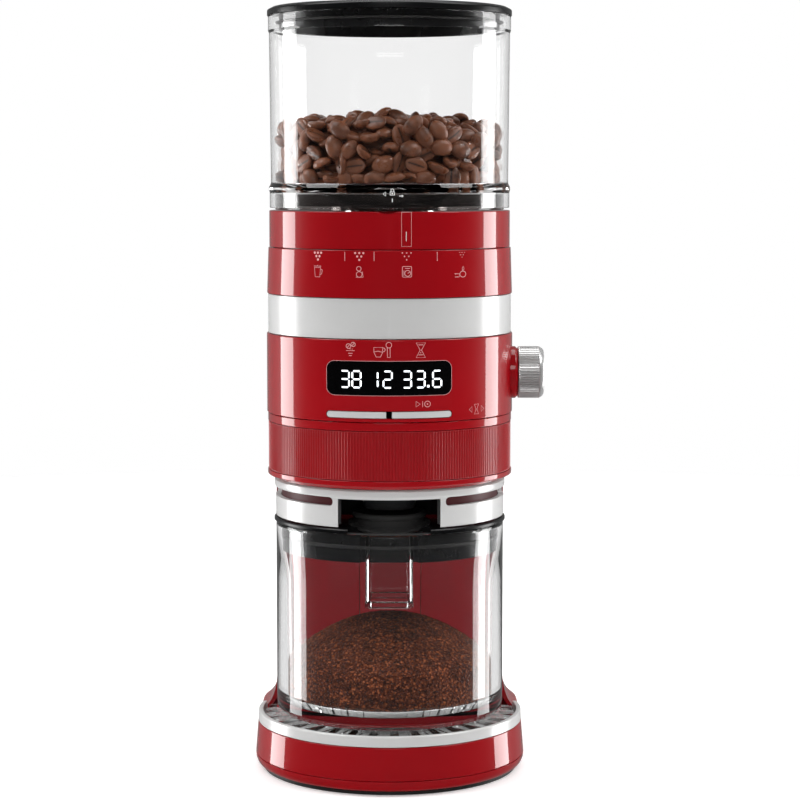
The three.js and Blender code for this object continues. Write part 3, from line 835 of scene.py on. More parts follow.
class GRINDER_OT_stage(bpy.types.Operator):
    """Camera, pale floor, tall side lamps, lamps above and in front, and a pale surround"""

    bl_idname = "grinder.stage"
    bl_label = "Camera and Stage"

    CAMERA_PLACE = (0.0056, -1.264, 0.3191)
    CAMERA_PITCH = 5.4
    SIDE_LAMPS = (("left", -1), ("right", 1))

    def camera(self):
        sizes = bpy.context.scene.grinder_sizes
        data = bpy.data.cameras.new("product_camera")
        data.lens = sizes.lens
        data.sensor_width = 36
        camera = bpy.data.objects.new("product_camera", data)
        bpy.context.scene.collection.objects.link(camera)
        camera.location = self.CAMERA_PLACE
        camera.rotation_euler = (math.radians(90 - self.CAMERA_PITCH), 0, 0)
        bpy.context.scene.camera = camera

    def floor(self):
        clear_selection()
        bpy.ops.mesh.primitive_circle_add(
            vertices=128, radius=1.3, fill_type="NGON", location=(0, 0, 0)
        )
        floor = bpy.context.object
        floor.name = "floor"
        f = Finish("floor_white")
        where = f.place()
        tone = f.group(
            flow_group(), Vector=where, Main=(0.93, 0.93, 0.93, 1), Second=(0.90, 0.90, 0.90, 1),
            Scale=2.0
        )["Color"]
        f.link(tone, f.shader.inputs["Base Color"])
        f.link(tone, f.shader.inputs["Emission Color"])
        f.set(Roughness=0.8, Specular_IOR_Level=0.0, Emission_Strength=0.3)
        open_air = f.node("ShaderNodeBsdfTransparent")
        path = f.node("ShaderNodeLightPath").outputs
        mirrored = math_node(f.tree, "GREATER_THAN", path["Glossy Depth"], 0.5)
        both = mixed(f.tree, mirrored, f.shader.outputs["BSDF"], open_air.outputs["BSDF"])
        f.link(both, f.output.inputs["Surface"])
        floor.data.materials.append(f.material)
        floor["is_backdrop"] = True

    def surround(self):
        """White to the camera; greyer in scattered light and reflections, and brighter from the back."""
        world = bpy.data.worlds.new("surround")
        bpy.context.scene.world = world
        world.use_nodes = True
        tree = world.node_tree
        tree.nodes.clear()
        out = tree.nodes.new("ShaderNodeOutputWorld")
        path = tree.nodes.new("ShaderNodeLightPath").outputs
        bounces = math_node(tree, "ADD", path["Glossy Depth"], path["Diffuse Depth"])
        seen = math_node(tree, "LESS_THAN", bounces, 0.5)
        direction = add_node(
            tree, "ShaderNodeSeparateXYZ", None,
            i0=tree.nodes.new("ShaderNodeTexCoord").outputs["Generated"]
        )
        levels = {}
        for name, front, back in (("soft", 0.17, 0.62), ("dim", 0.003, 0.22), ("inside", 0.05, 0.95)):
            level = add_node(
                tree, "ShaderNodeMapRange", {"interpolation_type": "SMOOTHSTEP"},
                Value=direction.outputs["Y"], From_Min=-0.2, From_Max=1.0, To_Min=front, To_Max=back
            )
            levels[name] = add_node(
                tree, "ShaderNodeBackground", None, Color=(1, 1, 1, 1), Strength=level.outputs[0]
            ).outputs[0]
        white = add_node(tree, "ShaderNodeBackground", None, Color=(1, 1, 1, 1), Strength=1.0)
        inner = mixed(tree, path["Is Glossy Ray"], levels["soft"], levels["dim"])
        through = math_node(tree, "GREATER_THAN", path["Transmission Depth"], 0.5)
        unscattered = math_node(tree, "LESS_THAN", path["Diffuse Depth"], 0.5)
        within = math_node(tree, "MULTIPLY", through, unscattered)
        middle = mixed(tree, within, inner, levels["inside"])
        outer = mixed(tree, seen, middle, white.outputs[0])
        tree.links.new(outer, out.inputs["Surface"])

    def execute(self, context):
        self.camera()
        self.floor()
        self.surround()
        for name, side in self.SIDE_LAMPS:
            area_lamp(
                f"{name}_side_lamp", (side * 0.8745, 0.29, 0.10), (side * -0.066, -0.05, 0.10), 0.338,
                0.72, 6.6
            )
            area_lamp(f"{name}_high_lamp", (side * 1.3, -0.25, 1.7), (0, 0, 0.2), 1.0, 1.0, 5.6)
        area_lamp("front_high_lamp", (0, -2.2, 1.25), (0, 0, 0.2), 1.1, 0.7, 2.9)
        area_lamp("top_lamp", (0, 0.5, 2.0), (0, 0.1, 0.3), 1.6, 1.2, 2.5)
        context.scene.view_settings.view_transform = "Standard"
        return {"FINISHED"}


# ---------------------------------------------------------------- foot and column


class GRINDER_OT_foot(bpy.types.Operator):
    """Rubber mat, base pan, base shell, silver trim ring and the clear ribbed tray"""

    bl_idname = "grinder.foot"
    bl_label = "Foot and Tray"

    TRAY_BLOCKS = 34
    TRIM_END = 13.7

    def tray(self):
        ring = [(46, 25.8), (68.4, 25.8), (68.4, 27.6), (46, 27.6)]
        tray = turned("jar_tray_ribbed", eased(ring, 0.06, arcs=1), steps=self.TRAY_BLOCKS * 2)
        step = TAU / (self.TRAY_BLOCKS * 2)

        def every_other(c, n):
            turn = math.atan2(c.x, -c.y) % TAU
            return n.z > 0.9 and int(turn / step) % 2 == 0

        edit(tray)
        choose(tray, "FACE", face_at(every_other))
        bpy.ops.mesh.inset(thickness=0.0005, use_individual=True)
        bpy.ops.mesh.extrude_region_move(TRANSFORM_OT_translate={"value": (0, 0, 3.2 * MM)})
        choose(tray, "VERT", lambda v: v.co.z > 30 * MM and v.co.xy.length > 62 * MM)
        bpy.ops.transform.translate(value=(0, 0, -1.6 * MM))
        end_edit()
        apply_modifier(tray, "BEVEL", width=0.35 * MM, segments=2, limit_method="ANGLE")
        carve(tray, block("back_half", (-80, self.TRIM_END - 0.1, 20), (80, 80, 40)))
        middle = post("tray_middle", 45.9, 25.8, 27.4, steps=ROUND)
        back = tube("tray_back", 62.4, 46, 25.8, 27.4, steps=ROUND)
        carve(back, block("front_half", (-80, -80, 20), (80, self.TRIM_END, 40)))
        tray = join("jar_tray_ribbed", [tray, middle, back])
        settle(tray, clear_tray_glass(), "housing", "clear_plastic", "jar_tray", shade=25)

    def execute(self, context):
        mat = plan_shell(
            "foot_mat", eased([(0, 0), (69, 0), (69, 2), (0, 2)], 0.5, closed=False), 69, closed=False
        )
        settle(mat, black_rubber(), "housing", "rubber", "base_mat")
        pan = [
            (62, 2.1), (69.6, 2.1), (71.0, 2.7), (72.1, 4.0), (72.8, 5.7), (73, 7.75), (72.6, 8.05),
            (62, 8.05)
        ]
        pan = plan_shell("foot_pan", [Vector(p) for p in pan], 73)
        settle(pan, red_gloss(), "housing", "red_gloss", "base_pan", shade=42)
        shell = [(0, 25.5, 0), (71.7, 25.5), (73, 8.15), (70.4, 8.15), (69.2, 23, 0), (0, 23, 0)]
        shell = plan_shell("foot_shell", eased(shell, 0.6, closed=False), 73, closed=False)
        settle(shell, red_gloss(), "housing", "red_gloss", "base_shell")
        ring = turned(
            "foot_trim_ring",
            eased([(68.9, 25.8), (71.65, 25.8), (71.5, 31.4, 0.9), (68.9, 31.4, 0.6)], 0.2)
        )
        keep_side(ring, (0, self.TRIM_END, 0), (0, 1, 0))
        settle(ring, silver_paint(), "housing", "silver_trim", "base_trim_ring")
        self.tray()
        under = post("tray_silver_underlay", 68.7, 25.52, 25.74, steps=ROUND)
        keep_side(under, (0, 60, 0), (0, 1, 0))
        settle(under, silver_paint(), "housing", "silver_trim")
        return {"FINISHED"}


class GRINDER_OT_column(bpy.types.Operator):
    """Red column behind the jar: flared shell with vents, hollow front and its inset panel"""

    bl_idname = "grinder.column"
    bl_label = "Column"

    VENTS = 8
    FLARE = (
        (9.4, 25.8), (8.1, 26.8), (6.4, 28.3), (4.8, 30.1), (3.4, 32.2), (2.2, 34.9), (1.3, 37.9),
        (0.5, 42), (0, 47)
    )
    HEAD = 158.6
    WALL = 2.5

    def execute(self, context):
        outer = [(COLUMN + out, z) for out, z in self.FLARE] + [(COLUMN, self.HEAD)]
        inner = [(r - self.WALL, z) for r, z in reversed(outer)]
        shell = plan_shell("column_wall", [Vector(p) for p in outer + inner], COLUMN)
        keep_side(shell, (0, 14, 0), (0, -1, 0))
        carve(shell, post("jar_nest", 63.2, 10, 170, steps=ROUND))
        slots = [
            block(f"vent_{i}", (-21, 95, 112 + 5 * i), (21, 125, 114.4 + 5 * i), 1.1)
            for i in range(self.VENTS)
        ]
        carve(shell, join("vents", slots))
        settle(shell, red_gloss(), "housing", "red_gloss", "column_shell")
        front = tube("column_hollow_front", 65.7, 63.2, 25.8, 158.6, steps=ROUND)
        carve(front, block("front_half", (-80, -80, 20), (80, 21.8, 170)))
        carve(front, block("window", (-18.8, 40, 34), (18.8, 80, 100), 0))
        # The hollow front and inset panel take the red with painted bounce light: a lighter base and a
        # faint glow.
        settle(front, red_painted_bounce_light(), "housing", "red_gloss", "column_front")
        panel = block("column_inset_panel", (-18.5, 64.2, 34.3), (18.5, 66.2, 97.6), 0.4)
        settle(panel, red_painted_bounce_light(), "housing", "red_gloss", "column_panel")
        # A silver-painted bar on the panel's top edge: a painted highlight where the top bevel catches
        # the light.
        bar = block("column_panel_painted_highlight", (-18.5, 63.4, 97.7), (18.5, 66.2, 99.7), 0.3)
        settle(bar, silver_paint(), "housing", "silver_trim")
        return {"FINISHED"}


# ---------------------------------------------------------------- spout


class GRINDER_OT_spout(bpy.types.Operator):
    """Silver slotted cradle, black bay behind it and the nozzle over the jar"""

    bl_idname = "grinder.spout"
    bl_label = "Spout and Cradle"

    SLOTS = ((-98, -28.5), (28.5, 98))

    def execute(self, context):
        cradle = turned(
            "spout_cradle",
            eased(
                [
                    (61.5, 138.3, 0.7), (61.6, 153.4, 0.3), (62.1, 155.0, 0.5), (62.1, 157.6, 0.9),
                    (61.0, 158.6, 0.4), (58.7, 158.6, 0.2), (58.7, 138.3, 0.4)
                ],
                0.6
            )
        )
        keep_side(cradle, (0, 12, 0), (0, 1, 0))
        carve(cradle, block("bay_gap", (-26.6, -80, 130), (26.6, -20, 153.4), 0))

        def short_end(e):
            a, b = (v.co for v in e.verts)
            level = abs(a.z - b.z) < SAME_POINT and abs((a - b).length - 16 * MM) < NEAR_POINT
            return level and len(e.link_faces) == 2 and any(abs(f.normal.z) < 0.1 for f in e.link_faces)

        for start, stop in self.SLOTS:
            slot = turned(
                "slot", [(54, 149.3), (70, 149.3), (70, 154.0), (54, 154.0)], sweep=stop - start,
                start=start, steps=24
            )
            edit(slot)
            choose(slot, "EDGE", short_end)
            bpy.ops.mesh.bevel(offset=2.2 * MM, segments=5, affect="EDGES")
            end_edit()
            carve(cradle, slot)
        settle(cradle, silver_paint(), "housing", "silver_trim", "spout_frame", shade=40)
        liner = tube("neck_inner_liner", 58.3, 55.6, 146, 154.4, steps=ROUND, ease=0.3)
        carve(liner, block("liner_gap", (-28.7, -80, 130), (28.7, -20, 153.4), 0))
        # The liner takes a darkened copy of the red: painted shade inside the neck behind the slots.
        settle(liner, red_painted_shade(), "housing", "red_gloss", "neck_liner")
        walls = []
        for side in (-1, 1):
            low, high = sorted((side * 26.7, side * 28.2))
            walls.append(block("bay_wall", (low, -54.6, 138.5), (high, -9, 154.9), 0.4))
            low, high = sorted((side * 24.9, side * 26.4))
            walls.append(block("bay_rib", (low, -55.5, 140), (high, -53.6, 153.2), 0.5))
        walls.append(block("bay_back", (-26.6, -10.6, 138.6), (26.6, -9.1, 154.9), 0.3))
        roof = post("bay_roof", 58.3, 154.8, 158.6, steps=ROUND)
        carve(roof, post("roof_hole", 14.4, 150, 160, centre=(0, SPOUT_Y)))
        bay = join("spout_bay_shell", [roof] + walls)
        settle(bay, black_satin(), "housing", "black_gloss", "spout_bay")
        nozzle = turned(
            "spout_nozzle_tube",
            eased([(11.4, 146.5), (13.2, 146.5), (14, 148.5), (14, 165.6), (11.4, 165.6)], 0.4),
            centre=(0, SPOUT_Y),
            steps=SMALL_ROUND,
        )
        settle(nozzle, black_satin(), "housing", "black_gloss", "spout_nozzle")
        return {"FINISHED"}


# ---------------------------------------------------------------- housing


def on_front(x, z, radius):
    """A point on the front of the tower, from its sideways place and height in millimetres."""
    return Vector((x, -math.sqrt(radius * radius - x * x), z)) * MM


def inked(name, lines, wall, body, material, slot, width=None, dots=()):
    """Printed marks on the round front: lines of (x, z) points, and dots of (x, z, diameter).

    The wall is its radius in millimetres, or a function that gives the radius at a height."""
    width = width or bpy.context.scene.grinder_sizes.print_width
    radius = wall if callable(wall) else lambda z: wall
    sunk = 0.3 * width
    data = bpy.data.curves.new(name, "CURVE")
    data.dimensions = "3D"
    data.bevel_depth = width / 2
    data.bevel_resolution = 2
    data.use_fill_caps = True
    for line in lines:
        closed = line[0] == line[-1] and len(line) > 2
        spots = [on_front(x, z, radius(z) - sunk / MM) for x, z in (line[:-1] if closed else line)]
        spline = data.splines.new("POLY")
        spline.points.add(len(spots) - 1)
        for point, spot in zip(spline.points, spots):
            point.co = (*spot, 1)
        spline.use_cyclic_u = closed
    for x, z, size in dots:
        outward = Vector((x, -math.sqrt(radius(z) ** 2 - x * x), 0)).normalized()
        spot = on_front(x, z, radius(z))
        spline = data.splines.new("POLY")
        spline.points.add(1)
        for point, depth in zip(spline.points, (-0.15, 0.05)):
            point.co = (*(spot + outward * depth * MM), 1)
            point.radius = size * MM / width
    marks = bpy.data.objects.new(name, data)
    bpy.context.scene.collection.objects.link(marks)
    make_active(marks)
    bpy.ops.object.convert(target="MESH")
    marks = bpy.context.object
    settle(marks, material, body, slot)
    return marks


def round_line(x, z, radius, start=0, stop=360, steps=20):
    turns = [math.radians(start + (stop - start) * i / steps) for i in range(steps + 1)]
    points = [(x + radius * math.sin(t), z + radius * math.cos(t)) for t in turns]
    if stop - start == 360:
        points[-1] = points[0]
    return points


def box_line(left, low, right, high, ease=0.0, steps=4):
    if not ease:
        return [(left, low), (right, low), (right, high), (left, high), (left, low)]
    points = []
    for x, z, start in (
        (right - ease, high - ease, 0),
        (right - ease, low + ease, 90),
        (left + ease, low + ease, 180),
        (left + ease, high - ease, 270),
    ):
        points += round_line(x, z, ease, start, start + 90, steps)
    return points + [points[0]]


class GRINDER_OT_housing(bpy.types.Operator):
    """Main housing with its display window and button slots, trims, ribbed sleeve and band"""

    bl_idname = "grinder.housing"
    bl_label = "Housing"

    def housing(self):
        wall = [
            (0, 236.6, 0), (66, 236.6, 0.7), (66, 194.2, 0.5), (63.5, 194.2, 0.2), (63.5, 234.8, 0),
            (0, 234.8, 0)
        ]
        shell = plan_shell("main_housing_shell", eased(wall, 0.4, closed=False), TOWER, closed=False)
        carve(shell, post("band_seat", 58.5, 230, 240, steps=ROUND))
        window = block("window", (-32.3, -80, 207.8), (32.3, -40, 225.8), 0)
        round_corners(window, 4.1, 8)
        carve(shell, window)
        slot = block("slots", (-32.5, -80, 196.0), (32.5, -40, 199.9), 0)
        round_corners(slot, 1.8, 6)
        carve(shell, slot)
        carve(shell, post("knob_hole", 14.3, 50, 80, axis="X", centre=(0, 214.8)))
        settle(shell, red_gloss(), "housing", "red_gloss", "main_housing")

    def display(self):
        lens = turned(
            "display_window", [(63.7, 208.1), (65.85, 208.1), (65.85, 225.5), (63.7, 225.5)], sweep=60,
            start=-30, steps=60
        )
        shape = block("lens_shape", (-32.1, -80, 208.0), (32.1, -40, 225.6), 0)
        round_corners(shape, 4.0, 8)
        carve(lens, shape, "INTERSECT")
        settle(lens, display_black(), "housing", "display_black", "display_lens")
        outline = box_line(-32.2, 207.9, 32.2, 225.7, 4.1, 8)
        dense = []
        for (x0, z0), (x1, z1) in zip(outline, outline[1:]):
            parts = max(1, int(abs(x1 - x0) / 1.5))
            dense += [(x0 + (x1 - x0) * i / parts, z0 + (z1 - z0) * i / parts) for i in range(parts)]
        dense.append(dense[0])
        inked("display_outline", [dense], 66.02, "housing", pale_print(), "red_gloss", width=0.18 * MM)

    SEGMENTS = {"1": "bc", "2": "abged", "3": "abgcd", "6": "afgedc", "8": "abcdefg"}
    DIGITS = (
        ("3", -22.7), ("8", -16.7), ("1", -8.0), ("2", -0.7), ("3", 9.2), ("3", 16.1), ("6", 24.7)
    )

    def digit(self, figure, x, low=212.1, high=220.5, half=2.15, thick=0.85):
        middle = (low + high) / 2
        gap = 0.34
        bars = {
            "a": ((x - half, high), (x + half, high)), "d": ((x - half, low), (x + half, low)),
            "g": ((x - half, middle), (x + half, middle)), "f": ((x - half, middle), (x - half, high)),
            "b": ((x + half, middle), (x + half, high)), "e": ((x - half, low), (x - half, middle)),
            "c": ((x + half, low), (x + half, middle))
        }
        shapes = []
        for name in self.SEGMENTS[figure]:
            (x0, z0), (x1, z1) = bars[name]
            along = Vector((x1 - x0, z1 - z0)).normalized()
            across = Vector((-along.y, along.x)) * thick / 2
            start = Vector((x0, z0)) + along * gap
            stop = Vector((x1, z1)) - along * gap
            shapes.append(
                [
                    start, start + along * thick / 2 + across, stop - along * thick / 2 + across, stop,
                    stop - along * thick / 2 - across, start + along * thick / 2 - across,
                ]
            )
        return shapes

    def digits(self):
        shapes = []
        for figure, x in self.DIGITS:
            shapes += self.digit(figure, x)
        shapes.append([Vector(p) for p in ((19.5, 212.1), (20.7, 212.1), (20.7, 213.3), (19.5, 213.3))])
        mesh = bpy.data.meshes.new("display_digits")
        points, faces = [], []
        for shape in shapes:
            first = len(points)
            points += [on_front(p.x, p.y, 65.87) for p in shape]
            faces.append(range(first, first + len(shape)))
        mesh.from_pydata(points, [], faces)
        digits = bpy.data.objects.new("display_digits", mesh)
        bpy.context.scene.collection.objects.link(digits)
        tidy(digits)
        edit(digits)
        bpy.ops.mesh.select_all(action="SELECT")
        bpy.ops.mesh.extrude_region_move(TRANSFORM_OT_translate={"value": (0, -0.06 * MM, 0)})
        end_edit()
        tidy(digits)
        settle(digits, segment_light(), "housing", "display_black", shade=0)

    def icons(self):
        lines = [
            round_line(-20.8, 233.3, 1.2), round_line(-18.4, 234.2, 1.1),
            [(-21.4, 232.6), (-20.2, 234.0)], [(-18.9, 233.5), (-17.9, 234.9)],
            [(-22.0, 231.0), (-17.6, 231.0)], [(-20.9, 229.6), (-18.7, 229.6)],
            [(-20.5, 228.4), (-19.1, 228.4)],
            [
                (-7.8, 232.8), (-3.2, 232.8), (-3.3, 230.2), (-4.4, 227.9), (-6.6, 227.9),
                (-7.7, 230.2), (-7.8, 232.8)
            ],
            round_line(-3.0, 231.6, 1.0, 0, 180, 8), [(-7.4, 230.6), (-5.6, 230.9), (-3.6, 230.4)],
            round_line(-0.1, 234.0, 1.45), [(-0.9, 232.7), (-0.8, 227.7), (0.6, 227.7), (0.5, 232.7)],
            [
                (13.9, 235.0), (18.6, 235.0), (16.6, 231.3), (18.6, 227.5), (13.9, 227.5),
                (15.9, 231.3), (13.9, 235.0)
            ],
            [(15.0, 234.0), (17.5, 234.0)], [(15.1, 228.9), (17.4, 228.9)],
            [(13.8, 205.0), (13.8, 202.1), (15.9, 203.5), (13.8, 205.0)],
            [(17.2, 205.0), (17.2, 202.0)], round_line(19.7, 203.5, 1.5),
            [(42.9, 201.0), (42.9, 198.0), (41.4, 199.4), (42.9, 201.0)],
            [
                (44.2, 202.0), (46.4, 202.0), (45.5, 199.4), (46.4, 196.9), (44.2, 196.9),
                (45.1, 199.4), (44.2, 202.0)
            ],
            [(47.8, 201.0), (47.8, 198.0), (49.2, 199.4), (47.8, 201.0)]
        ]
        dots = [(19.7, 203.5, 0.7), (16.2, 230.0, 0.5), (-20.0, 231.9, 0.5), (-18.9, 231.8, 0.4)]
        inked("housing_icons", lines, TOWER, "housing", pale_print(), "red_gloss", dots=dots)

    @staticmethod
    def on_ribs(place, reach):
        """Whether a point is on the outside of the sleeve, between the feet and heads of its ribs."""
        return reach > 64 * MM and 163.9 < place.z / MM < 189.0

    def sleeve(self):
        sizes = bpy.context.scene.grinder_sizes
        ribs = sizes.sleeve_ribs * 2
        wall = [
            (65.3, 163.7), (65.3, 164.1), (65.3, 188.8), (65.3, 189.2), (62.5, 189.2), (62.5, 163.7)
        ]
        sleeve = turned("ribbed_sleeve_shell", wall, steps=ribs * 3)
        edit(sleeve)
        step = TAU / (ribs * 3)

        def groove(v):
            turn = math.atan2(v.co.x, -v.co.y) % TAU
            return self.on_ribs(v.co, v.co.xy.length) and round(turn / step) % 3 == 0

        choose(sleeve, "VERT", groove)
        depth = 1 - sizes.rib_depth / (65.3 * MM)
        bpy.ops.transform.resize(value=(depth, depth, 1), center_override=(0, 0, 0))
        end_edit()
        steps = 90
        stretched(sleeve, 65.3, steps)

        def side_groove(v):
            row = round(v.co.y / (SPINE * MM / steps))
            return self.on_ribs(v.co, abs(v.co.x)) and 0 < row < steps and row % 3 == 0

        edit(sleeve)
        choose(sleeve, "VERT", side_groove)
        bpy.ops.transform.resize(value=(depth, 1, 1), center_override=(0, 0, 0))
        end_edit()
        settle(sleeve, red_sleeve(), "housing", "red_ribbed", "ribbed_sleeve", shade=20)

    def execute(self, context):
        self.housing()
        self.display()
        self.digits()
        self.icons()
        self.sleeve()
        upper = plan_shell(
            "lower_trim_ring",
            eased([(65.5, 189.5, 0.4), (65.5, 193.9, 0.5), (62.5, 193.9, 0.2), (62.5, 189.5, 0.2)], 0.4),
            65.5
        )
        settle(upper, red_gloss(), "housing", "red_gloss", "lower_trim")
        bottom = plan_shell(
            "bottom_trim_ring",
            eased(
                [
                    (60.6, 158.9, 0.2), (62.2, 158.9, 0.4), (65.7, 160.9, 0.5), (65.7, 163.4, 0.4),
                    (60.6, 163.4, 0.2)
                ],
                0.4
            ),
            65.7
        )
        settle(bottom, red_gloss(), "housing", "red_gloss", "bottom_trim")
        band = turned(
            "silver_band_ring",
            eased(
                [(62.6, 236.9, 0.2), (65.2, 236.9, 0.35), (65.2, 257.6, 0.35), (62.6, 257.6, 0.2)], 0.3
            )
        )
        settle(band, silver_paint(), "housing", "silver_trim", "silver_band")
        return {"FINISHED"}


class GRINDER_OT_controls(bpy.types.Operator):
    """Two silver bar buttons, the round boss and the ribbed side knob"""

    bl_idname = "grinder.controls"
    bl_label = "Buttons and Knob"

    def button(self, name, low, high, body, node, outer_left):
        bar = turned(
            name, [(58.0, 196.3), (66.15, 196.3), (66.15, 199.6), (58.0, 199.6)], sweep=62, start=-31,
            steps=62
        )
        shape = block("bar_shape", (low, -80, 196.35), (high, -40, 199.55), 0)
        middle = (low + high) / 2 * MM

        def on_round_end(e):
            x = e.verts[0].co.x
            return x < middle if outer_left else x > middle

        round_corners(shape, 1.55, 7, on_round_end)
        carve(bar, shape, "INTERSECT")
        apply_modifier(
            bar, "BEVEL", width=0.25 * MM, segments=2, limit_method="ANGLE",
            angle_limit=math.radians(50)
        )
        settle(bar, silver_paint(), body, "silver_trim", node)

    def knob(self):
        ribs = bpy.context.scene.grinder_sizes.knob_ribs
        profile = [
            (0, 69.1), (13.6, 69.1), (13.9, 69.4), (13.9, 69.9), (13.9, 79.9), (13.9, 80.4),
            (13.5, 81.2), (12.6, 82.4), (11.9, 82.8), (0, 82.6),
        ]
        knob = turned("side_knob", profile, "X", (0, 214.8), ribs * 4, closed=False)
        step = TAU / (ribs * 4)

        def groove(v):
            y, z = v.co.y / MM, v.co.z / MM - 214.8
            turn = math.atan2(y, z) % TAU
            return 69.6 < v.co.x / MM < 80.2 and round(turn / step) % 4 == 0 and math.hypot(y, z) > 13

        edit(knob)
        choose(knob, "VERT", groove)
        bpy.ops.transform.resize(value=(1, 0.965, 0.965), center_override=(0, 0, 0.2148))
        end_edit()
        settle(knob, brushed_metal(), "knob", "silver_trim", "control_knob", shade=28)

    def execute(self, context):
        self.button("left_bar_button", -32.1, -1.5, "left_button", "left_button", True)
        self.button("right_bar_button", 1.5, 32.1, "right_button", "right_button", False)
        boss = turned(
            "knob_boss_ring",
            eased(
                [(4.2, 62.2), (14.0, 62.2), (14.0, 67.6, 1.2), (12.8, 68.8, 0.6), (4.2, 68.8)], 0.2,
                arcs=4
            ),
            "X", (0, 214.8), SMALL_ROUND
        )
        settle(boss, red_gloss(), "housing", "red_gloss", "knob_boss")
        self.knob()
        return {"FINISHED"}


class GRINDER_OT_scale(bpy.types.Operator):
    """Scale ring with its dot and brewer marks, and the grind collar with its pointer"""

    bl_idname = "grinder.scale"
    bl_label = "Grind Scale"

    FOOT, HEAD = (65.75, 257.9), (64.95, 282.1)
    TOP = (64.94, 282.3)

    def wall_radius(self, z):
        share = (z - self.FOOT[1]) / (self.HEAD[1] - self.FOOT[1])
        return self.FOOT[0] + (self.HEAD[0] - self.FOOT[0]) * share

    def triangle(self, x, z, spread, size, drop=1.75):
        rows = ((3, 0), (2, 1), (1, 2))
        dots = []
        for count, row in rows:
            for i in range(count):
                dots.append((x + (i - (count - 1) / 2) * spread, z - row * drop, size))
        return dots

    def marks(self):
        dots = self.triangle(-36.6, 280.8, 1.65, 1.25)
        dots += self.triangle(-15.2, 280.9, 2.1, 1.1)
        dots += self.triangle(9.0, 281.0, 2.2, 0.75)
        dots += self.triangle(37.5, 280.9, 1.3, 0.42, 1.2)
        lines = [
            [(-22.6, 281.5), (-22.6, 276.8)], [(-7.6, 281.6), (-7.6, 276.9)],
            [(24.6, 281.5), (24.6, 276.8)],
            [(-38.4, 273.2), (-35.2, 273.2), (-35.6, 268.4), (-38.0, 268.4), (-38.4, 273.2)],
            [(-38.7, 273.9), (-34.9, 273.9)], [(-36.8, 273.9), (-36.8, 274.4)],
            [(-35.0, 272.4), (-34.3, 272.0), (-34.6, 270.0), (-35.3, 269.7)],
            round_line(-15.4, 272.9, 1.15), round_line(-15.2, 270.0, 1.45),
            [(-13.6, 271.4), (-13.2, 268.6), (-16.9, 268.6)], box_line(6.8, 268.7, 11.5, 274.1, 0.6),
            round_line(9.5, 270.6, 1.5), [(8.2, 273.1), (10.6, 273.1)], [(7.6, 269.4), (7.6, 272.0)],
            [(9.5, 270.6), (10.6, 271.2)], [(33.8, 268.4), (36.0, 268.4), (36.2, 270.0), (33.7, 270.0)],
            round_line(37.9, 269.8, 1.55),
            [(37.9, 271.4), (37.5, 272.6), (38.1, 273.9), (38.5, 272.6), (37.9, 271.4)]
        ]
        inked("scale_marks", lines, self.wall_radius, "housing", pale_print(), "red_gloss", dots=dots)

    def execute(self, context):
        ring = turned(
            "scale_ring_shell",
            eased([(62.2, 257.9, 0.2), (*self.FOOT, 0.3), (*self.TOP, 0.45), (62.2, 282.3, 0.2)], 0.3),
        )
        settle(ring, red_gloss(), "housing", "red_gloss", "scale_ring")
        shade = tube("scale_gap_shade", 61.1, 58.4, 279.5, 283.2, steps=ROUND, ease=0.2)
        settle(shade, black_satin(), "housing", "black_gloss")
        self.marks()
        wall = [
            (28.4, 299.2, 0.2), (61.4, 299.2, 0.3), (61.4, 282.6, 0.2), (64.4, 282.6, 0.35),
            (64.4, 301.9, 0.55), (28.4, 301.9, 0.2)
        ]
        collar = turned("grind_collar_ring", eased(wall, 0.3))
        notch = turned(
            "notch", [(0, -80), (13.5, -80), (13.5, -56), (0, -56)], "Y", (-0.7, 314.3), 96,
            closed=False
        )
        carve(collar, notch)
        settle(collar, red_gloss(), "collar", "red_gloss", "grind_collar")
        pointer = [box_line(6.4, 284.3, 11.4, 301.7)]
        inked("collar_pointer", pointer, 64.42, "collar", pale_print(), "red_gloss", width=0.3 * MM)
        inked(
            "collar_tick", [[(8.8, 291.7), (8.8, 287.0)]], 64.42, "collar", white_print(), "red_gloss",
            width=0.42 * MM
        )
        return {"FINISHED"}


# ---------------------------------------------------------------- hopper, beans and lid


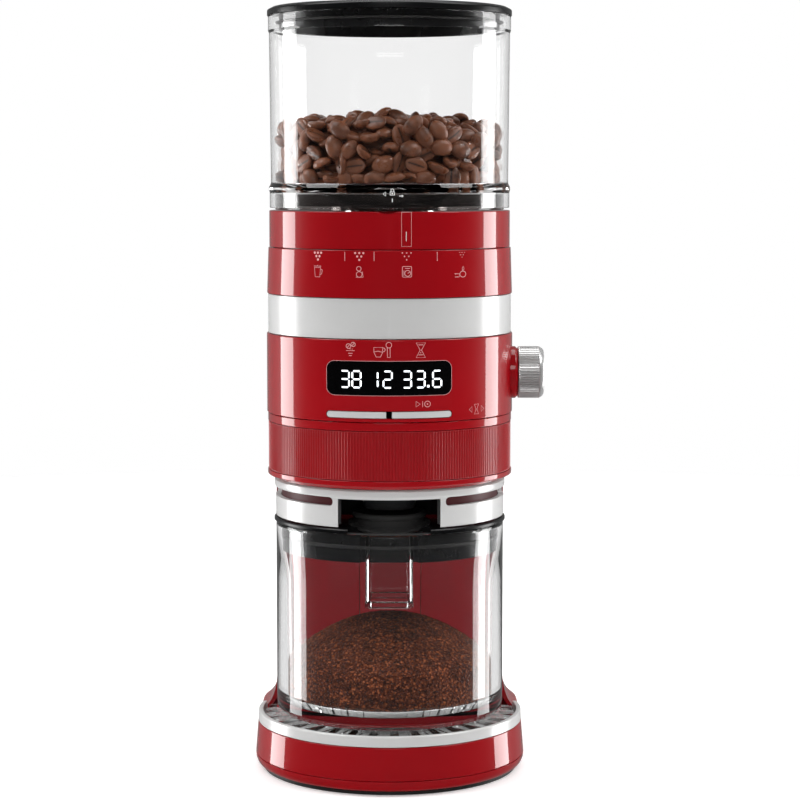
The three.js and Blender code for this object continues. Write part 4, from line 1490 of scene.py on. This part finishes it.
class GRINDER_OT_hopper(bpy.types.Operator):
    """Clear hopper with its lock marks, and the smoke-grey gate under it"""

    bl_idname = "grinder.hopper"
    bl_label = "Hopper and Gate"

    def execute(self, context):
        wall = [
            (64.1, 303.3, 0.4), (64.1, 311.5, 0.3), (64.5, 312.6, 0.3), (64.5, 314.0, 0.3),
            (63.45, 316.2, 0.6), (63.4, 318, 0), (64.1, 395.6, 0.4), (64.6, 396.8, 0.3),
            (64.6, 404.3, 0.5), (62.4, 404.3, 0.5), (62.2, 397.0, 0), (61.2, 316.0, 1.2),
            (60.4, 315.0, 0.5), (42, 314.3, 2), (22, 306.2, 1), (22, 291, 0.3), (24, 291, 0.3),
            (24, 304.6, 1), (42.4, 312.1, 2), (57.6, 312.8, 1), (61.8, 311.4, 0.6), (61.8, 303.3, 0.4)
        ]
        hopper = turned("hopper_clear_shell", eased(wall, 0.4))
        settle(hopper, clear_plastic(), "hopper", "clear_plastic", "hopper_shell")
        rim = [
            (61.2, 302.3, 0.3), (61.2, 310.6, 0.4), (59.2, 310.6, 0.4), (59.2, 304.4, 0.4),
            (27, 304.4, 0.4), (27, 288.2, 0.3), (24.4, 288.2, 0.3), (24.4, 302.3, 0.3)
        ]
        gate = turned("hopper_gate_smoke", eased(rim, 0.3))
        settle(gate, smoke_plastic(), "gate", "smoke_plastic", "hopper_gate")
        lines = [
            [(-3.0, 310.9), (-1.7, 311.9), (-1.7, 309.9), (-3.0, 310.9)],
            [(0.6, 310.4), (2.8, 310.4), (2.8, 312.0), (0.6, 312.0), (0.6, 310.4)],
            [(1.0, 312.0), (1.1, 313.2), (1.7, 313.6), (2.3, 313.2), (2.4, 312.0)],
            [(1.7, 306.8), (1.7, 308.6)],
            [(5.2, 309.9), (7.2, 309.9)],
            [(6.5, 310.4), (7.3, 309.9), (6.5, 309.4)],
        ]
        inked(
            "hopper_lock_marks", lines, 64.3, "hopper", white_print(), "clear_plastic", width=0.45 * MM,
            dots=[(1.7, 311.2, 0.9)],
        )
        return {"FINISHED"}


@cached
def bean_finish():
    """Roasted bean: each its own tone, with painted shade darkening the crease, and an oily bloom."""
    c = bpy.context.scene.grinder_colours
    f = Finish("roasted_bean")
    tone = f.node("ShaderNodeAttribute", {"attribute_name": "bean_tone"}).outputs["Fac"]
    crease = f.node("ShaderNodeAttribute", {"attribute_name": "bean_crease"}).outputs["Fac"]
    where = f.place()
    mottle = f.group(
        flow_group(), Vector=where, Main=colour4(c.bean_dark), Second=colour4(c.bean_light), Scale=190.0
    )
    light = f.node("ShaderNodeMix", {"data_type": "RGBA"})
    light.inputs[6].default_value = colour4(c.bean_dark)
    f.link(tone, light.inputs[0])
    f.link(mottle["Color"], light.inputs[6])
    light.inputs[7].default_value = colour4(c.bean_light)
    # Painted shade: along the crease line the bean's colour is mixed towards a near-black brown.
    crease_shade = f.node("ShaderNodeMix", {"data_type": "RGBA"})
    groove = f.node("ShaderNodeValToRGB")
    stops = groove.color_ramp.elements
    stops[0].position, stops[0].color = 0.60, (0, 0, 0, 1)
    stops[1].position, stops[1].color = 0.95, (1, 1, 1, 1)
    f.link(crease, groove.inputs[0])
    f.link(groove.outputs[0], crease_shade.inputs[0])
    f.link(light.outputs[2], crease_shade.inputs[6])
    crease_shade.inputs[7].default_value = (0.012, 0.005, 0.003, 1)
    f.link(crease_shade.outputs[2], f.shader.inputs["Base Color"])
    f.wiped(where, 0.24, 0.42, 260.0)
    f.grained(where, 1500.0, 0.6, 0.25, 0.0003)
    return f.material


class GRINDER_OT_beans(bpy.types.Operator):
    """Roasted beans heaped in the hopper: one bean modelled, then copied, tumbled and dropped"""

    bl_idname = "grinder.beans"
    bl_label = "Beans"

    WALL = 60.6
    FLOOR = 314.6

    def one_bean(self):
        sizes = bpy.context.scene.grinder_sizes
        clear_selection()
        bpy.ops.mesh.primitive_uv_sphere_add(segments=12, ring_count=8, radius=1, location=(0, 0, 0))
        bean = bpy.context.object
        bean.name = "bean"
        edit(bean)
        bpy.ops.mesh.select_all(action="SELECT")
        bpy.ops.transform.rotate(value=math.pi / 2, orient_axis="Y", center_override=(0, 0, 0))
        bpy.ops.transform.resize(
            value=(sizes.bean_length / 2, sizes.bean_width / 2, sizes.bean_width * 0.40),
            center_override=(0, 0, 0)
        )
        choose(bean, "VERT", lambda v: v.co.z < -NEAR_POINT)
        bpy.ops.transform.resize(value=(1, 1, 0.42), center_override=(0, 0, 0))
        reach = sizes.bean_length * 0.43
        choose(
            bean, "VERT",
            lambda v: v.co.z < -NEAR_POINT and abs(v.co.y) < NEAR_POINT and abs(v.co.x) < reach
        )
        bpy.ops.transform.translate(value=(0, 0, 1.15 * MM))
        end_edit()
        mesh = bean.data
        crease = mesh.attributes.new("bean_crease", "FLOAT", "POINT")
        for vertex, value in zip(mesh.vertices, crease.data):
            x, y, z = vertex.co
            value.value = float(abs(y) < NEAR_POINT and -0.9 * MM < z < 0.4 * MM and abs(x) < reach)
        mesh.attributes.new("bean_tone", "FLOAT", "POINT")
        return bean

    def drop(self, rng, ball):
        """Places for the beans: balls dropped one by one, each rolling down to where it rests."""
        rest = []
        grid = {}
        cell = 2 * ball

        def near(x, y, z):
            i, j, k = int(x // cell), int(y // cell), int(z // cell)
            for a in (i - 1, i, i + 1):
                for b in (j - 1, j, j + 1):
                    for c in (k - 1, k, k + 1):
                        yield from grid.get((a, b, c), ())

        limit = self.WALL - ball

        def surface(x, y):
            r = math.hypot(x, y)
            return 357.0 - 7.5 * (r / self.WALL) ** 2

        misses = 0
        while misses < 120:
            r = limit * math.sqrt(rng.random())
            turn = rng.random() * TAU
            x, y = r * math.cos(turn), r * math.sin(turn)
            z = 372.0
            for _ in range(260):
                z -= 1.3
                for _ in range(2):
                    for px, py, pz in near(x, y, z):
                        dx, dy, dz = x - px, y - py, z - pz
                        gap = math.sqrt(dx * dx + dy * dy + dz * dz) or 1e-6
                        if gap < 2 * ball:
                            push = (2 * ball - gap) / gap
                            x, y, z = x + dx * push, y + dy * push, z + dz * push
                    r = math.hypot(x, y)
                    if r > limit:
                        x, y = x * limit / r, y * limit / r
                    z = max(z, self.FLOOR + ball)
                if z <= self.FLOOR + ball + 1e-6:
                    break
            if z > surface(x, y) - ball:
                misses += 1
                continue
            rest.append((x, y, z))
            grid.setdefault((int(x // cell), int(y // cell), int(z // cell)), []).append((x, y, z))
        return rest

    def execute(self, context):
        rng = random.Random(11)
        bean = self.one_bean()
        places = self.drop(rng, 4.25)
        tops = {}
        for x, y, z in places:
            key = (int(x // 9), int(y // 9))
            tops[key] = max(tops.get(key, 0), z)
        shown = [
            (x, y, z)
            for x, y, z in places
            if math.hypot(x, y) > self.WALL - 15 or z > tops[(int(x // 9), int(y // 9))] - 11
        ]
        copies = []
        for x, y, z in shown:
            mesh = bean.data.copy()
            toward = math.atan2(y, x)
            if math.hypot(x, y) > self.WALL - 8 and rng.random() < 0.7:
                turn = Matrix.Rotation(toward, 4, "Z") @ Matrix.Rotation(
                    rng.choice((-1, 1)) * math.pi / 2, 4, "Y"
                )
                turn = turn @ Matrix.Rotation(
                    rng.uniform(0, TAU), 4, "Z"
                ) @ Matrix.Rotation(rng.gauss(0, 0.3), 4, "X")
            else:
                turn = Matrix.Rotation(rng.uniform(0, TAU), 4, "Z")
                turn = turn @ Matrix.Rotation(rng.choice((0, math.pi)) + rng.gauss(0, 0.5), 4, "X")
                turn = turn @ Matrix.Rotation(rng.gauss(0, 0.4), 4, "Y")
            size = rng.uniform(0.9, 1.06)
            mesh.transform(Matrix.Translation(Vector((x, y, z)) * MM) @ turn @ Matrix.Scale(size, 4))
            tone = rng.random()
            mesh.attributes["bean_tone"].data.foreach_set("value", [tone] * len(mesh.vertices))
            twin = bpy.data.objects.new("bean_copy", mesh)
            context.scene.collection.objects.link(twin)
            copies.append(twin)
        bpy.data.objects.remove(bean)
        beans = join("roasted_beans", copies)
        make_active(beans)
        bpy.ops.object.shade_smooth()
        settle(beans, bean_finish(), "hopper", "clear_plastic", shade=0)
        core = turned(
            "bean_heap_core",
            [(0, 352), (20, 351), (34, 348), (44, 342), (47, 334), (47, 318), (44, 316), (0, 316)],
            closed=False, steps=48,
        )
        settle(core, bean_finish(), "hopper", "clear_plastic", shade=60)
        return {"FINISHED"}


class GRINDER_OT_lid(bpy.types.Operator):
    """Black hopper lid with its hollow plug and the seal in the plug's groove"""

    bl_idname = "grinder.lid"
    bl_label = "Hopper Lid"

    def execute(self, context):
        shape = [
            (0, 409, 0), (62.4, 409, 1.2), (65.1, 407.6, 1.0), (65.1, 404.65, 0.3), (61.0, 404.65, 0.2),
            (58.8, 404.0, 0.3), (58.6, 401.6, 0.15), (57.9, 401.6, 0.1), (57.9, 399.6, 0.1),
            (58.6, 399.6, 0.15), (58.6, 396.6, 0.7), (56.4, 396.6, 0.7), (56.2, 405.6, 1.5),
            (0, 406.6, 0)
        ]
        lid = turned("hopper_lid_black", eased(shape, 0.4, closed=False), closed=False)
        settle(lid, black_gloss(), "lid", "black_gloss", "hopper_lid")
        seal = turned(
            "lid_seal_ring",
            eased([(57.95, 399.9), (60.6, 400.1), (60.6, 401.0), (57.95, 401.25)], 0.35)
        )
        settle(seal, black_rubber(), "lid", "rubber", "lid_seal")
        return {"FINISHED"}


# ---------------------------------------------------------------- jar and ground coffee


class GRINDER_OT_jar(bpy.types.Operator):
    """Clear jar, black jar lid with its skirt, rubber funnel and clear chute"""

    bl_idname = "grinder.jar"
    bl_label = "Jar and Lid"

    def upright(self, name, low, high, ease):
        """A box with only its standing edges rounded."""
        piece = block(name, low, high)
        edit(piece)
        choose(piece, "EDGE", lambda e: abs(e.verts[0].co.z - e.verts[1].co.z) > 0.01)
        bpy.ops.mesh.bevel(offset=ease * MM, segments=5, affect="EDGES")
        end_edit()
        return piece

    def chute(self):
        chute = self.upright("clear_chute", (-12.3, -55.4, 95.8), (12.3, -26.2, 132.8), 3.2)
        edit(chute)
        choose(chute, "VERT", lambda v: v.co.z < 0.1)
        bpy.ops.transform.resize(value=(0.985, 0.985, 1), center_override=(0, -0.041, 0))
        end_edit()
        carve(chute, self.upright("bore", (-10.9, -54.0, 90), (10.9, -27.6, 140), 2.2))
        apply_modifier(
            chute, "BEVEL", width=0.45 * MM, segments=3, limit_method="ANGLE", angle_limit=0.9
        )
        lip = self.upright("chute_lip", (-12.3, -55.4, 96.2), (12.3, -26.2, 99.4), 3.2)
        carve(lip, self.upright("lip_bore", (-9.8, -52.9, 90), (9.8, -28.7, 140), 2.0))
        apply_modifier(lip, "BEVEL", width=0.9 * MM, segments=4, limit_method="ANGLE", angle_limit=0.9)
        carve(chute, lip, "UNION")
        settle(chute, clear_plastic(), "jar", "clear_plastic", "jar_chute", shade=30)

    def execute(self, context):
        glass = [
            (0, 31.9, 0), (52, 31.9, 0.6), (53.5, 31.5, 0.6), (59.4, 31.5, 2.2), (61.4, 34.5, 2.0),
            (61.4, 133.4, 0.8), (60.8, 134.7, 0.6), (59.3, 134.7, 0.6), (58.9, 133.6, 0.5),
            (58.9, 116.0, 4.0), (56.6, 104.0, 6.0), (55.8, 41.6, 4.0), (51.0, 37.0, 3.0), (0, 36.2, 0)
        ]
        jar = turned("coffee_jar", eased(glass, 0.6, closed=False, arcs=5), closed=False)
        settle(jar, clear_glass(), "jar", "clear_glass", "jar_glass")
        lid = turned(
            "jar_lid_black",
            eased(
                [
                    (0, 134.8, 0), (56.2, 134.8, 0.5), (56.2, 119.9, 0.4), (58.4, 119.9, 0.5),
                    (58.4, 134.9, 0.3), (61.4, 134.95, 0.2), (62.4, 135.7, 0.3), (62.4, 137.0, 0.4),
                    (61.8, 137.6, 0.3), (0, 137.6, 0)
                ],
                0.3, closed=False
            ),
            closed=False
        )
        carve(lid, post("funnel_hole", 16.4, 130, 140, centre=(0, SPOUT_Y)))
        carve(lid, block("notch", (-14.7, -66, 110), (14.7, -38, 134.3), 0))
        carve(lid, block("lip_notch", (-21.6, -66, 134.0), (21.6, -50, 140), 0))
        back = block("chute_back", (-17.5, -25.4, 114.4), (17.5, -23.6, 135.6), 0.3)
        cheeks = [
            block("chute_cheek", (low, -53.5, 120.1), (low + 1.8, -24.0, 135.6), 0.3)
            for low in (-17.5, 15.7)
        ]
        lid = join("jar_lid_black", [lid, back] + cheeks)
        settle(lid, black_gloss(), "jar", "black_gloss", "jar_lid")
        seal = turned(
            "jar_seal_ring",
            eased([(58.45, 127.2), (58.85, 127.4), (58.85, 128.8), (58.45, 129.0)], 0.1)
        )
        settle(seal, black_rubber(), "jar", "rubber")
        funnel = [
            (11.6, 133.2, 0.4), (16.3, 133.2, 0.4), (16.3, 137.6, 0.4), (20.5, 137.8, 0.4),
            (22.0, 138.5, 0.6), (21.8, 139.5, 0.6), (18.6, 140.2, 0.8), (18.4, 141.2, 0.5),
            (19.8, 142.4, 0.8), (19.8, 144.0, 0.9), (18.6, 144.7, 0.6), (17.2, 144.4, 0.5),
            (14.2, 139.0, 1.5), (11.6, 136.6, 1.0)
        ]
        funnel = turned(
            "rubber_funnel", eased(funnel, 0.5, arcs=4), centre=(0, SPOUT_Y), steps=SMALL_ROUND
        )
        edit(funnel)
        for ahead in (4, 10, 15, 19):
            choose(
                funnel,
                "VERT",
                lambda v: v.co.z < 0.1404
                and v.co.y < (SPOUT_Y - ahead) * MM
                and math.hypot(v.co.x, v.co.y - SPOUT_Y * MM) > 0.0175,
            )
            bpy.ops.transform.translate(value=(0, 0, -0.85 * MM))
        end_edit()
        settle(funnel, black_rubber(), "jar", "rubber", "spout_funnel")
        self.chute()
        return {"FINISHED"}


class GRINDER_OT_grounds(bpy.types.Operator):
    """Heap of ground coffee in the jar, with a grainy surface"""

    bl_idname = "grinder.grounds"
    bl_label = "Ground Coffee"

    def finish(self):
        c = bpy.context.scene.grinder_colours
        f = Finish("ground_coffee")
        where = f.place()
        grains = f.node("ShaderNodeTexVoronoi", None, Vector=where, Scale=1250.0, Randomness=1.0)
        split = f.node("ShaderNodeSeparateColor")
        f.link(grains.outputs["Color"], split.inputs[0])
        ramp = f.node("ShaderNodeValToRGB")
        stops = ramp.color_ramp.elements
        stops[0].position = 0.0
        stops[0].color = colour4(c.grounds_dark)
        stops[1].position = 1.0
        stops[1].color = colour4([x * 1.7 for x in c.grounds_light])
        for position, share in ((0.45, 0.22), (0.86, 0.55)):
            stop = stops.new(position)
            stop.color = colour4([d + (l - d) * share for d, l in zip(c.grounds_dark, c.grounds_light)])
        f.link(split.outputs[0], ramp.inputs[0])
        drift = f.group(
            flow_group(), Vector=where, Main=(1, 1, 1, 1), Second=(0.62, 0.55, 0.5, 1), Scale=38.0
        )["Color"]
        tint = f.node("ShaderNodeMix", {"data_type": "RGBA", "blend_type": "MULTIPLY"})
        tint.inputs[0].default_value = 1.0
        f.link(ramp.outputs[0], tint.inputs[6])
        f.link(drift, tint.inputs[7])
        f.link(tint.outputs[2], f.shader.inputs["Base Color"])
        f.wiped(where, 0.55, 0.9, 700.0)
        f.set(Specular_IOR_Level=0.12)
        f.bump(grains.outputs["Distance"], 0.9, 0.0008)
        return f.material

    def execute(self, context):
        rise = bpy.context.scene.grinder_sizes.mound_height / MM
        wall_line = 58.2
        radii = [i * 55.5 / 60 for i in range(61)]
        top = [(r, wall_line + rise * (1 - min(r / 59, 1) ** 2.1) ** 1.15) for r in radii]
        side = [(55.6, wall_line - i * 0.8) for i in range(1, 21)]
        profile = top + side + [(55.3, 41.8), (53.6, 39.6), (50.8, 37.3), (0, 36.5)]
        heap = turned("coffee_grounds", [Vector(p) for p in profile], closed=False, steps=360)
        texture = bpy.data.textures.new("grounds_lumps", "CLOUDS")
        texture.noise_scale = 0.0022
        texture.noise_depth = 3
        make_active(heap)
        group = heap.vertex_groups.new(name="loose")
        for vertex in heap.data.vertices:
            away = vertex.co.xy.length / MM
            loose = 1.0 if vertex.co.z > 52 * MM and away < 54.5 else 0.0
            group.add([vertex.index], loose, "REPLACE")
        apply_modifier(
            heap, "DISPLACE", texture=texture, strength=1.1 * MM, mid_level=0.5, texture_coords="LOCAL",
            vertex_group="loose",
        )
        settle(heap, self.finish(), "jar", "clear_glass", shade=80)
        return {"FINISHED"}


# ---------------------------------------------------------------- carried-over pieces


class GRINDER_OT_works(bpy.types.Operator):
    """Finishes for the pieces kept as packed: gears, plates, motor, boards, burrs and fixings"""

    bl_idname = "grinder.works"
    bl_label = "Works"

    FINISHES = (
        (
            steel,
            (
                "burr_shaft", "inner_burr", "outer_burr", "motor_can", "knob_shaft", "lower_bearing",
                "upper_bearing", "gear_frame", "upper_plate"
            )
        ),
        (nylon, ("burr_gear", "idler_gear", "impeller")), (brass, ("motor_pinion",)),
        (circuit_green, ("power_board", "display_board")),
        (black_satin, ("burr_chamber", "grounds_duct", "knob_encoder", "lower_deck", "burr_carrier")),
        (black_rubber, ("cord_gland", "jar_lid_seal")),
        (smoke_plastic, ("gate_shutter", "hopper_shutter"))
    )

    def execute(self, context):
        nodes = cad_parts
        named = {}
        for finish, names in self.FINISHES:
            for name in names:
                named[name] = finish
        for name, node in nodes.items():
            finish = named.get(name, steel if "screw" in name else None)
            if finish is None:
                continue
            node.data.materials.clear()
            node.data.materials.append(finish())
        return {"FINISHED"}


# ---------------------------------------------------------------- panel and run


OPERATORS = (
    GRINDER_OT_stage, GRINDER_OT_foot, GRINDER_OT_column, GRINDER_OT_spout, GRINDER_OT_housing,
    GRINDER_OT_controls, GRINDER_OT_scale, GRINDER_OT_hopper, GRINDER_OT_beans, GRINDER_OT_lid,
    GRINDER_OT_jar, GRINDER_OT_grounds, GRINDER_OT_works
)


class GRINDER_PT_panel(bpy.types.Panel):
    """Lists the grinder's sizes, colours and building steps"""

    bl_idname = "GRINDER_PT_panel"
    bl_label = "Burr Coffee Grinder"
    bl_space_type = "VIEW_3D"
    bl_region_type = "UI"
    bl_category = "Grinder"

    def draw(self, context):
        for group in (context.scene.grinder_sizes, context.scene.grinder_colours):
            for name in group.__annotations__:
                self.layout.prop(group, name)
        for operator in OPERATORS:
            self.layout.operator(operator.bl_idname)


CLASSES = (GrinderSizes, GrinderColours, *OPERATORS, GRINDER_PT_panel)


def register():
    for cls in CLASSES:
        bpy.utils.register_class(cls)
    bpy.types.Scene.grinder_sizes = PointerProperty(type=GrinderSizes)
    bpy.types.Scene.grinder_colours = PointerProperty(type=GrinderColours)


def unregister():
    del bpy.types.Scene.grinder_colours
    del bpy.types.Scene.grinder_sizes
    for cls in reversed(CLASSES):
        bpy.utils.unregister_class(cls)


def main():
    register()
    for operator in OPERATORS:
        group, name = operator.bl_idname.split(".")
        getattr(getattr(bpy.ops, group), name)()
    clear_selection()
    sizes = [[list(corner) for corner in box] for box in (cad_box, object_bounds())]


if __name__ == "__main__":
    main()
